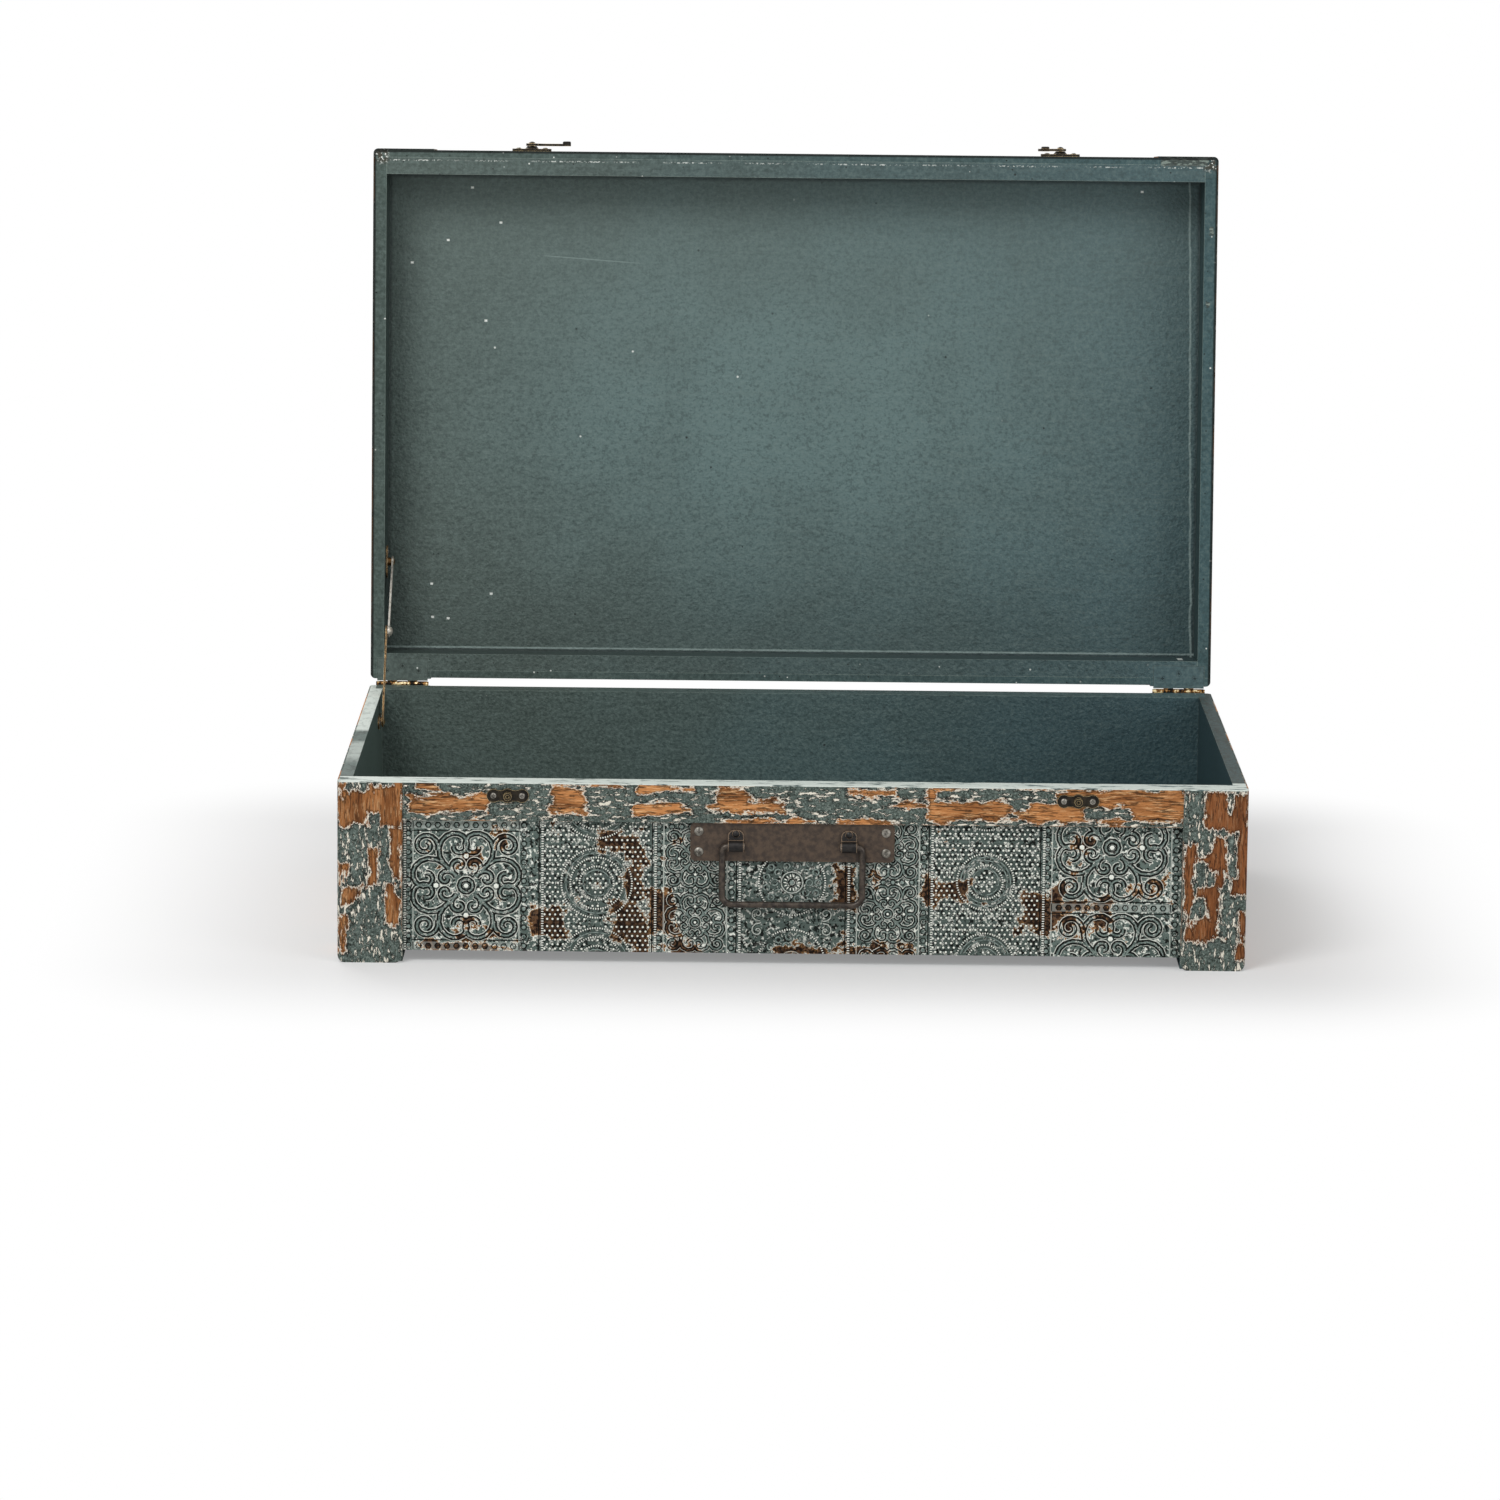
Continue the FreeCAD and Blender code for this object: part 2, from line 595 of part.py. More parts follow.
def elbow_between(low, high):
    """Elbow of the stay for two pivot places, on the side towards the front."""
    span = high - low
    reach = span.Length
    along = (STAY_LOWER_LEN ** 2 - STAY_UPPER_LEN ** 2 + reach ** 2) / (2 * reach)
    off = math.sqrt(max(STAY_LOWER_LEN ** 2 - along ** 2, 0))
    unit = span / reach
    forward = X_AXIS.cross(unit)
    return low + unit * along + forward * off


LAYER_1 = -INNER_X + STAY_PLATE_T + SMALL_HEAD_T + STAY_LAYER_GAP   # lower arm, past the screws
LAYER_2 = LAYER_1 + STAY_ARM_T + STAY_LAYER_GAP                     # upper arm
CASE_PIVOT = Vector(0, HALF_D - STAY_CASE_BACK, RIM_Z - STAY_CASE_DOWN)
LID_PIVOT_CLOSED = Vector(0, HALF_D - STAY_LID_BACK, LID_RIM_Z + STAY_LID_UP)
LID_PIVOT = turned_open(LID_PIVOT_CLOSED)
ELBOW = elbow_between(CASE_PIVOT, LID_PIVOT)
ELBOW_CLOSED = elbow_between(CASE_PIVOT, LID_PIVOT_CLOSED)


def at_x(point, x):
    """The same point moved to a given X."""
    return Vector(x, point.y, point.z)


def stay_arm(start, end, layer):
    """Flat bar with round ends between two pivot places."""
    unit = (end - start).normalize()
    across = X_AXIS.cross(unit) * (STAY_ARM_W / 2)
    corners = [start + across, end + across, end - across, start - across]
    outline = [at_x(corner, layer) for corner in corners]
    face = Part.Face(Part.makePolygon(outline + outline[:1]))
    shape = face.extrude(X_AXIS * STAY_ARM_T)
    for spot in (start, end):
        low = at_x(spot, layer)
        shape = shape.fuse(rod(STAY_EYE_R, low, low + X_AXIS * STAY_ARM_T))
    return shape


def stud_hole(pivot, layer):
    """Hole in an arm for the stud of its bracket."""
    end = at_x(pivot, layer + STAY_ARM_T + OVERCUT)
    return rod(STAY_STUD_R + RUNNING_FIT, at_x(pivot, layer - OVERCUT), end)


def lower_arm():
    """Arm from the case bracket to the elbow."""
    shape = stay_arm(CASE_PIVOT, ELBOW, LAYER_1)
    return shape.cut(stud_hole(CASE_PIVOT, LAYER_1)).removeSplitter()


def upper_arm():
    """Arm from the lid bracket to the elbow, with the elbow's rivet head."""
    shape = stay_arm(LID_PIVOT, ELBOW, LAYER_2).cut(stud_hole(LID_PIVOT, LAYER_2))
    head = dome(ELBOW_HEAD_R, ELBOW_HEAD_T, at_x(ELBOW, LAYER_2 + STAY_ARM_T), X_AXIS)
    return shape.fuse(head).removeSplitter()


def stay_screw_places(pivot, x):
    """Two screws of a stay bracket, on a line along the rim."""
    return [Vector(x, pivot.y + dy, pivot.z) for dy in (-STAY_SCREW_SPACING / 2,
                                                       STAY_SCREW_SPACING / 2)]


def stay_bracket(pivot, layer):
    """Oval plate on the wall with the stud that carries an arm in the given layer."""
    wall = -INNER_X
    face_x = wall + STAY_PLATE_T
    ends = stay_screw_places(pivot, wall)
    shape = block(wall, face_x, ends[0].y, ends[1].y,
                  pivot.z - STAY_PLATE_H / 2, pivot.z + STAY_PLATE_H / 2)
    for end in ends:
        shape = shape.fuse(rod(STAY_PLATE_H / 2, end, end + X_AXIS * STAY_PLATE_T))
    seat = at_x(pivot, face_x)
    collar_end = at_x(pivot, layer - FACE_FIT)
    shape = shape.fuse(rod(STAY_HEAD_R, seat, collar_end))
    head_x = layer + STAY_ARM_T + FACE_FIT
    shape = shape.fuse(rod(STAY_STUD_R, seat, at_x(pivot, head_x)))
    shape = shape.fuse(dome(STAY_HEAD_R, STAY_HEAD_T, at_x(pivot, head_x), X_AXIS))
    for place in stay_screw_places(pivot, face_x):
        shape = shape.cut(small_hole(place, X_AXIS))
    return shape.removeSplitter()


def stay_screws(pivot):
    """Screws of one stay bracket."""
    places = stay_screw_places(pivot, -INNER_X + STAY_PLATE_T)
    return [screw(place, X_AXIS, SMALL_HEAD_R, SMALL_HEAD_T, SMALL_SCREW_R, SMALL_SCREW_LEN)
            for place in places]


def stay_holes(shape, pivot):
    """Screw holes of a stay bracket in the left board."""
    for place in stay_screw_places(pivot, -INNER_X + STAY_PLATE_T):
        shape = shape.cut(small_hole(place, X_AXIS))
    return shape


# ---- boards and strips --------------------------------------------------------------------------
def case_end_board(end):
    """Front or back board of the case, between the side boards."""
    shape = block(-INNER_X, INNER_X, end * CORE_Y, end * INNER_Y, FLOOR_GAP, RIM_Z)
    if end > 0:
        return mortises(shape, False)
    return handle_holes(catch_holes(shape, PEG_Z))


def case_side_board(side):
    """Side board of the case, down to the floor, with a rounded lower edge."""
    shape = block(side * INNER_X, side * HALF_W, -CORE_Y, CORE_Y, 0, RIM_Z)
    foot = edges_at(shape, lambda p: near(p.x, side * HALF_W) and near(p.z, 0))
    shape = shape.makeFillet(FOOT_R, foot)
    shape = mortises(shape, False)
    return stay_holes(shape, CASE_PIVOT) if side < 0 else shape


def post(side, end, z0, z1, foot):
    """Upright strip at a corner, from the floor or from the lid's rim."""
    shape = block(side * POST_IN, side * HALF_W, end * CORE_Y, end * HALF_D, z0, z1)
    upright = edges_at(shape, lambda p: near(p.x, side * HALF_W) and near(p.y, end * HALF_D))
    shape = shape.makeFillet(POST_EDGE_R, upright)
    if foot:
        low = edges_at(shape, lambda p: near(p.z, z0) and near(abs(p.x), POST_IN))
        shape = shape.makeFillet(FOOT_R, low)
        shape = shape.common(foot_outline(side, z0, z1))
    return mortises(shape, z0 > RIM_Z) if end > 0 else shape


def foot_outline(side, z0, z1):
    """Block the width of a post with its outer lower corner rounded."""
    shape = block(side * POST_IN, side * HALF_W, -HALF_D, HALF_D, z0, z1)
    outer = edges_at(shape, lambda p: near(p.x, side * HALF_W) and near(p.z, z0))
    return shape.makeFillet(FOOT_R, outer)


def rail(end, z0, z1):
    """Strip along a rim between two posts."""
    return block(-POST_IN, POST_IN, end * CORE_Y, end * RAIL_Y, z0, z1)


def runner(side):
    """Batten under the bottom panel, along a side board."""
    return block(side * POST_IN, side * INNER_X, -CORE_Y, CORE_Y, 0, FLOOR_GAP)


def lid_end_board(end):
    """Front or back board of the lid, between the side boards and under the top board."""
    shape = block(-INNER_X, INNER_X, end * CORE_Y, end * INNER_Y, LID_RIM_Z,
                  LID_CORE_Z - LID_TOP_T)
    return mortises(shape, True) if end > 0 else catch_holes(shape, CATCH_Z)


def lid_side_board(side):
    """Side board of the lid, up to the underside of the band."""
    shape = block(side * INNER_X, side * HALF_W, -CORE_Y, CORE_Y, LID_RIM_Z, LID_CORE_Z)
    shape = mortises(shape, True)
    return stay_holes(shape, LID_PIVOT_CLOSED) if side < 0 else shape


def lid_top_board():
    """Top board between the side boards, with its front and back edges rounded for the sheet."""
    shape = block(-INNER_X, INNER_X, -CORE_Y, CORE_Y, LID_CORE_Z - LID_TOP_T, LID_CORE_Z)
    edges = edges_at(shape, lambda p: near(p.z, LID_CORE_Z) and near(abs(p.y), CORE_Y))
    return shape.makeFillet(SHEET_BEND_R - SHEET_T, edges)


def lid_sheet():
    """Embossed sheet over the lid, turned down at the front and back to the rails."""
    low_z = LID_RIM_Z + LID_RAIL_HEIGHT
    outer = block(-POST_IN, POST_IN, -SHEET_Y, SHEET_Y, low_z, LID_SHEET_Z)
    bends = edges_at(outer, lambda p: near(p.z, LID_SHEET_Z) and near(abs(p.y), SHEET_Y))
    outer = outer.makeFillet(SHEET_BEND_R, bends)
    inner = block(-HALF_W, HALF_W, -CORE_Y, CORE_Y, low_z - OVERCUT, LID_CORE_Z)
    bends = edges_at(inner, lambda p: near(p.z, LID_CORE_Z) and near(abs(p.y), CORE_Y))
    inner = inner.makeFillet(SHEET_BEND_R - SHEET_T, bends)
    return outer.cut(inner)


def band(side):
    """Flat strip over the lid from front to back, above the posts."""
    shape = block(side * POST_IN, side * HALF_W, -HALF_D, HALF_D, LID_CORE_Z, LID_TOP_Z)
    upright = edges_at(shape, lambda p: near(p.x, side * HALF_W) and near(abs(p.y), HALF_D))
    shape = shape.makeFillet(POST_EDGE_R, upright)
    upper = edges_at(shape, lambda p: near(p.z, LID_TOP_Z))
    return shape.makeFillet(BAND_EDGE_R, upper)


# ---- assembly -----------------------------------------------------------------------------------
def build_case():
    """Everything that stays on the floor."""
    add("case", "bottom_panel", block(-INNER_X, INNER_X, -INNER_Y, INNER_Y,
                                      FLOOR_GAP, FLOOR_GAP + BOTTOM_T))
    for name, end in ENDS:
        add("case", name + "_board", case_end_board(end))
        shape = rail(end, RIM_Z - CASE_RAIL_HEIGHT, RIM_Z)
        add("case", name + "_top_rail", catch_holes(shape, PEG_Z) if end < 0 else shape)
    for name, side in SIDES:
        add("case", name + "_side_board", case_side_board(side))
        add("case", name + "_runner", runner(side))
        for end_name, end in ENDS:
            add("case", end_name + "_" + name + "_post", post(side, end, 0, RIM_Z, True))
        add("case", name + "_hinge_case_leaf", hinge_leaf(side, False))
        add("case", name + "_hinge_pin", hinge_pin(side))
        add("case", name + "_striker", striker(side))
        add("case", name + "_handle_lug", handle_lug(side))
    sheet = block(-POST_IN, POST_IN, -SHEET_Y, -CORE_Y, FLOOR_GAP, RIM_Z - CASE_RAIL_HEIGHT)
    add("case", "front_embossed_sheet", handle_holes(sheet))
    add("case", "handle_plate", handle_plate())
    add("case", "stay_case_bracket", stay_bracket(CASE_PIVOT, LAYER_1))


def build_lid():
    """The lid in its closed place."""
    add("lid", "lid_top_board", lid_top_board())
    add("lid", "lid_embossed_sheet", lid_sheet())
    for name, end in ENDS:
        add("lid", "lid_" + name + "_board", lid_end_board(end))
        shape = rail(end, LID_RIM_Z, LID_RIM_Z + LID_RAIL_HEIGHT)
        add("lid", "lid_" + name + "_rail", catch_holes(shape, CATCH_Z) if end < 0 else shape)
    for name, side in SIDES:
        add("lid", "lid_" + name + "_board", lid_side_board(side))
        add("lid", "lid_" + name + "_band", band(side))
        for end_name, end in ENDS:
            shape = post(side, end, LID_RIM_Z, LID_CORE_Z, False)
            add("lid", "lid_" + end_name + "_" + name + "_post", shape)
        add("lid", name + "_hinge_lid_leaf", hinge_leaf(side, True))
        add("lid", name + "_catch_plate", catch_plate(side))
        add("lid", name + "_catch_rivet", catch_rivet(side))
    add("lid", "stay_lid_bracket", stay_bracket(LID_PIVOT_CLOSED, LAYER_2))


def build_fasteners():
    """Screws and rivets, one node for each group of equal pieces on one body."""
    small = (SMALL_HEAD_R, SMALL_HEAD_T, SMALL_SCREW_R, SMALL_SCREW_LEN)
    plate_y = -RAIL_Y - CATCH_PLATE_T
    case_hinge, lid_hinge, on_case, on_lid = [], [], [], []
    for _, side in SIDES:
        case_hinge += [hinge_screw(place, Z_AXIS) for place in hinge_screw_places(side, RIM_Z)]
        lid_hinge += [hinge_screw(place, -Z_AXIS) for place in hinge_screw_places(side, LID_RIM_Z)]
        on_case += screws_on_front(catch_screw_places(side, plate_y, PEG_Z), *small)
        on_lid += screws_on_front(catch_screw_places(side, plate_y, CATCH_Z), *small)
    add("case", "case_hinge_screws", Part.makeCompound(case_hinge))
    add("lid", "lid_hinge_screws", Part.makeCompound(lid_hinge))
    add("case", "striker_screws", Part.makeCompound(on_case))
    add("lid", "catch_screws", Part.makeCompound(on_lid))
    add("case", "handle_screws", Part.makeCompound(screws_on_front(
        handle_screw_places(), HANDLE_HEAD_R, HANDLE_HEAD_T, HANDLE_SCREW_R, HANDLE_SCREW_LEN)))
    add("case", "handle_rivets", Part.makeCompound([lug_rivet(side) for _, side in SIDES]))
    add("case", "stay_case_screws", Part.makeCompound(stay_screws(CASE_PIVOT)))
    add("lid", "stay_lid_screws", Part.makeCompound(stay_screws(LID_PIVOT_CLOSED)))


def build_movers():
    """Hooks, bail and the two arms of the stay."""
    add("left_hook", "left_catch_hook", catch_hook(-1, LEFT_HOOK_ANGLE))
    add("right_hook", "right_catch_hook", catch_hook(1, RIGHT_HOOK_ANGLE))
    add("bail", "handle_bail", bail())
    add("stay_lower", "stay_lower_arm", lower_arm())
    add("stay_upper", "stay_upper_arm", upper_arm())


def open_lid():
    """Turn the lid and what rides on it about the hinge pins."""
    for body in ("lid", "left_hook", "right_hook"):
        for name in bodies[body]:
            nodes[name].rotate(Vector(0, PIN_Y, PIN_Z), X_AXIS, -OPEN_ANGLE)


def middle_of_all():
    """Middle of the open trunk's overall box, on the floor."""
    box = Part.makeCompound(list(nodes.values())).optimalBoundingBox(False)
    return Vector((box.XMin + box.XMax) / 2, (box.YMin + box.YMax) / 2, box.ZMin)


build_case()
build_lid()
build_fasteners()
build_movers()
open_lid()
origin = middle_of_all()
for node_name, piece in nodes.items():
    piece.translate(-origin)
    piece.exportStep("parts/" + node_name + ".step")
print("nodes", len(nodes), "origin from the case's middle", origin)
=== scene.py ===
# %% [markdown]
# # An open trunk with an embossed front
#
# The real object is a flat storage trunk, about as wide as a suitcase.  Its boards are painted.
# The wooden strips on its corners and rims are painted over a pale primer and then sanded back to
# the bare wood in places.  A thin embossed sheet is nailed between the strips, and brass hinges,
# hook catches, a folding stay and a blackened handle finish it.
#
# The shape was constructed elsewhere and comes in as a fixed frame of named nodes that ride on
# moving bodies.  This lesson dresses that frame.  It keeps every node whose shape is right, gives
# each one its finish, and makes the embossed sheets anew, because their relief is too fine for a
# construction model.
#
# Everything is in metres, in one frame: X to the right, Y to the back and Z up, with the origin on
# the floor.

import json
import math

import bpy
import numpy as np
from mathutils import Matrix, Vector


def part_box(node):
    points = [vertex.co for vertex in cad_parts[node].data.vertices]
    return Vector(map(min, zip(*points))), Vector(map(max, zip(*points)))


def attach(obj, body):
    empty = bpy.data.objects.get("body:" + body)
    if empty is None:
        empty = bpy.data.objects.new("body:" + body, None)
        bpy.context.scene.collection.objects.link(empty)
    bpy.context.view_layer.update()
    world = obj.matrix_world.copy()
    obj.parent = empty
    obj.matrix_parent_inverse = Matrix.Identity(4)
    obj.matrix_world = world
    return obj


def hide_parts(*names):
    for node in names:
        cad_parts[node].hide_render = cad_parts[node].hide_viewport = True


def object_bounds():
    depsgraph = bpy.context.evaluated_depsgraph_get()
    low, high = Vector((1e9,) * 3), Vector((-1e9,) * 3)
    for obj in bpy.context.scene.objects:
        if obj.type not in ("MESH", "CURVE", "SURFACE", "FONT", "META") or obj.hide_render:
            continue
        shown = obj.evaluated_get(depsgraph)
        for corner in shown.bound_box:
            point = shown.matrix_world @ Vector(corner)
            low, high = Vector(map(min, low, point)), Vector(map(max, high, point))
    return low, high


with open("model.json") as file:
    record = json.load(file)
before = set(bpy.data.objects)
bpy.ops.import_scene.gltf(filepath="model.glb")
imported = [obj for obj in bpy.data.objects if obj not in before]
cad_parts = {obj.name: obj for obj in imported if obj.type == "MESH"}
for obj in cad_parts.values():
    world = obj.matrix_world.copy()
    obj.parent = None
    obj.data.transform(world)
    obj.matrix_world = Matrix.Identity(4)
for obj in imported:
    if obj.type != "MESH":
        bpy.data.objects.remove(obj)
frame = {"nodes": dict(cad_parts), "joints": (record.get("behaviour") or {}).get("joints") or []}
cad_low, cad_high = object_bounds()
nodes = frame["nodes"]
print("CAD box in metres:", [round(high - low, 4) for low, high in zip(cad_low, cad_high)])

# %% [markdown]
# ## Measures that several steps share
#
# The frame knows where the lid's pins are and how far the lid is open.  Turning a point of the
# open lid back about the pins gives its place on the closed lid, where its boards stand square.
# Patterns and masks are far easier to describe there, so the turn is kept both ways round.

# %% Millimetres, and the turn of the lid
MM = 0.001
lid_joint = next(j for j in frame["joints"] if j["name"] == "lid_hinge")
open_angle = math.radians(-lid_joint["range_deg"][0])
pin = Vector(lid_joint["pos_m"])
to_pin = Matrix.Translation(pin)
open_turn = to_pin @ Matrix.Rotation(-open_angle, 4, "X") @ to_pin.inverted()
close_turn = open_turn.inverted()


def closed_box(name):
    """Lowest and highest corner of a node of the lid, as it lies with the lid closed."""
    spots = np.array([close_turn @ v.co for v in nodes[name].data.vertices])
    return Vector(spots.min(0)), Vector(spots.max(0))


print("the lid is open by", round(math.degrees(open_angle), 1), "degrees about", tuple(pin))

# %% [markdown]
# ## A short way to write nodes
#
# Materials and geometry trees are networks of nodes.  Written one call at a time they are long and
# hard to read, so two small classes help.  A `Wire` is the output of a node, and a sum such as
# `1 - mask` adds the Math node that works it out.  A `Graph` has one method that adds any node.  It
# takes the node's type, then values or wires for its sockets, and its settings in lower case.

# %% Wires that can be added and multiplied
class Wire:
    """The output of a node, usable in Python sums."""

    def __init__(self, graph, socket):
        self.graph = graph
        self.socket = socket

    def maths(self, operation, *terms):
        return self.graph.node("ShaderNodeMath", *terms, operation=operation)

    def also(self, name):
        """Another output of the same node."""
        return Wire(self.graph, self.socket.node.outputs[name])


SIGNS = {"add": "ADD", "sub": "SUBTRACT", "mul": "MULTIPLY", "truediv": "DIVIDE", "pow": "POWER",
         "mod": "FLOORED_MODULO"}
WORDS = {"__abs__": "ABSOLUTE", "__round__": "ROUND", "cosine": "COSINE", "sine": "SINE",
         "least": "MINIMUM", "most": "MAXIMUM", "above": "GREATER_THAN"}
for word, operation in WORDS.items():
    setattr(Wire, word, lambda *terms, job=operation: terms[0].maths(job, *terms))
for sign, operation in SIGNS.items():
    setattr(Wire, f"__{sign}__", lambda one, other, job=operation: one.maths(job, one, other))
    setattr(Wire, f"__r{sign}__", lambda one, other, job=operation: one.maths(job, other, one))
print("a wire knows", len(SIGNS), "signs and the words", sorted(WORDS))

# %% A graph that adds any node
class Graph:
    """The node tree of a material, the world or a geometry modifier."""

    def __init__(self, tree):
        self.tree = tree

    def node(self, kind, *inputs, output=0, **named):
        """Adds a node with these inputs, in order or by name, and settings in lower case."""
        made = self.tree.nodes.new(kind)
        values = dict(enumerate(inputs))
        for name, value in named.items():
            if name.islower():
                setattr(made, name, value)
            else:
                values[name.replace("_", " ")] = value
        for key, value in values.items():
            for one in value if isinstance(value, list) else [value]:
                if isinstance(one, Wire):
                    self.tree.links.new(one.socket, made.inputs[key])
                elif one is not None:
                    made.inputs[key].default_value = one
        return Wire(self, made.outputs[output]) if made.outputs else None

    def xyz(self, vector):
        """The three parts of a vector."""
        x = self.node("ShaderNodeSeparateXYZ", vector)
        return x, x.also("Y"), x.also("Z")

    def vector(self, x=0.0, y=0.0, z=0.0):
        return self.node("ShaderNodeCombineXYZ", x, y, z)

    def step(self, value, low, high):
        """0 below low, 1 above high, and smooth between."""
        return self.node("ShaderNodeMapRange", value, low, high, interpolation_type="SMOOTHSTEP")


print("a graph adds any of", sum("Node" in kind for kind in dir(bpy.types)), "kinds of node")

# %% [markdown]
# ## Camera, light and floor
#
# A long lens from five metres away keeps the sides of the trunk nearly parallel.  The view is
# slightly from above and tilted by half a degree.  The three axes of the camera are worked out
# from its heading, its dip and its tilt, and they are the columns of its matrix.

# %% Camera
SENSOR = 36.0
FRAME_PIXELS = 1500
FOCAL_PIXELS = 6585
CAMERA_PLACE = Vector((-0.036, -5.2394, 1.065))
heading = math.radians(0.03)
dip = math.radians(10.22)
tilt = math.radians(0.59)

ahead = Vector((math.sin(heading) * math.cos(dip), math.cos(heading) * math.cos(dip), -math.sin(dip)))
level = Vector((math.cos(heading), -math.sin(heading), 0))
upward = level.cross(ahead)
camera_x = math.cos(tilt) * level + math.sin(tilt) * upward
camera_y = math.cos(tilt) * upward - math.sin(tilt) * level
axes = Matrix((camera_x, camera_y, -ahead)).transposed()

lens = bpy.data.cameras.new("camera")
lens.sensor_width = SENSOR
lens.lens = FOCAL_PIXELS / FRAME_PIXELS * SENSOR
lens.clip_end = 100
camera = bpy.data.objects.new("camera", lens)
camera.matrix_world = Matrix.Translation(CAMERA_PLACE) @ axes.to_4x4()
bpy.context.scene.collection.objects.link(camera)
bpy.context.scene.camera = camera
bpy.context.scene.view_settings.view_transform = "Standard"
print("lens", round(lens.lens, 1), "mm")

# %% [markdown]
# Plain studio light shows a colour about as it is written.  Half of it comes evenly from the
# world, and the rest from three large soft lamps, so that walls facing different ways still
# differ.  Camera rays see the world as white, and so do reflections.

# %% World and lamps
EVEN_LIGHT = 0.50
bpy.context.scene.world = bpy.data.worlds.new("studio")
bpy.context.scene.world.use_nodes = True
sky = Graph(bpy.context.scene.world.node_tree)
sky.tree.nodes.clear()
ray = sky.node("ShaderNodeLightPath")
seen = ray.also("Is Camera Ray").most(ray.also("Is Glossy Ray")).most(ray.also("Is Transmission Ray"))
sky_light = sky.node("ShaderNodeBackground", Strength=EVEN_LIGHT + (1 - EVEN_LIGHT) * seen)
sky.node("ShaderNodeOutputWorld", sky_light)


def soft_lamp(name, place, target, size, power):
    """A square lamp at one point, facing another."""
    light = bpy.data.lights.new(name, "AREA")
    light.size = size
    light.energy = power
    lamp = bpy.data.objects.new(name, light)
    lamp.location = place
    lamp.rotation_euler = (Vector(target) - Vector(place)).to_track_quat("-Z", "Y").to_euler()
    bpy.context.scene.collection.objects.link(lamp)


MIDDLE = (0, 0, 0.25)       # what all lamps face
soft_lamp("key", (-1.6, -2.6, 2.9), MIDDLE, 1.6, 62)
soft_lamp("fill", (2.6, -2.4, 1.2), MIDDLE, 2.0, 22)
soft_lamp("rim", (-1.2, 2.6, 2.4), MIDDLE, 1.8, 34)
print("lamps and their watts:", {light.name: light.energy for light in bpy.data.lights})

# %% [markdown]
# The floor is a plain pale disc.  Close to the trunk it is mostly matt paint, so it keeps the
# trunk's shadow.  Within a quarter of a metre it fades into plain white, for camera rays alone.

# %% Floor
FLOOR_RADIUS = 30.0
FADE = 0.25                 # metres from the trunk to plain white
bpy.ops.mesh.primitive_circle_add(vertices=96, radius=FLOOR_RADIUS, fill_type="NGON")
floor = bpy.context.object
floor.name = "floor"
ground_paint = bpy.data.materials.new("floor")
ground_paint.use_nodes = True
ground = Graph(ground_paint.node_tree)
ground.tree.nodes.clear()
x, y, z = ground.xyz(ground.node("ShaderNodeTexCoord").also("Object"))
beside = (abs(x) - cad_high[0]).most(0.0)
before = (abs(y) - cad_high[1]).most(0.0)
reach = (beside * beside + before * before) ** 0.5
matt = ground.node("ShaderNodeBsdfDiffuse", Color=(0.90, 0.90, 0.90, 1))
glow = ground.node("ShaderNodeEmission", Strength=1.0)
white = 0.25 + 0.75 * ground.step(reach, 0.0, FADE)
far = white * ground.node("ShaderNodeLightPath").also("Is Camera Ray")
blend = ground.node("ShaderNodeMixShader", far, matt, glow)
ground.node("ShaderNodeOutputMaterial", blend)
floor.data.materials.append(ground_paint)
print("floor radius", FLOOR_RADIUS, "m")

# %% [markdown]
# ## Words for finishes
#
# Paint colours are written as they look on a screen, from 0 to 255, and turned into the linear
# values that a shader wants.  The other words are the few that every finish uses: noise of a given
# grain in millimetres, scattered dots, mixing two colours, and finding the sharp edges of a piece.
# A finish is described as three things that vary over the surface: its colour, its roughness and
# its height.

# %% Words for finishes
def colour(red, green, blue):
    """A screen colour as linear red, green, blue and alpha."""
    return tuple(((c / 255 + 0.055) / 1.055) ** 2.4 for c in (red, green, blue)) + (1.0,)


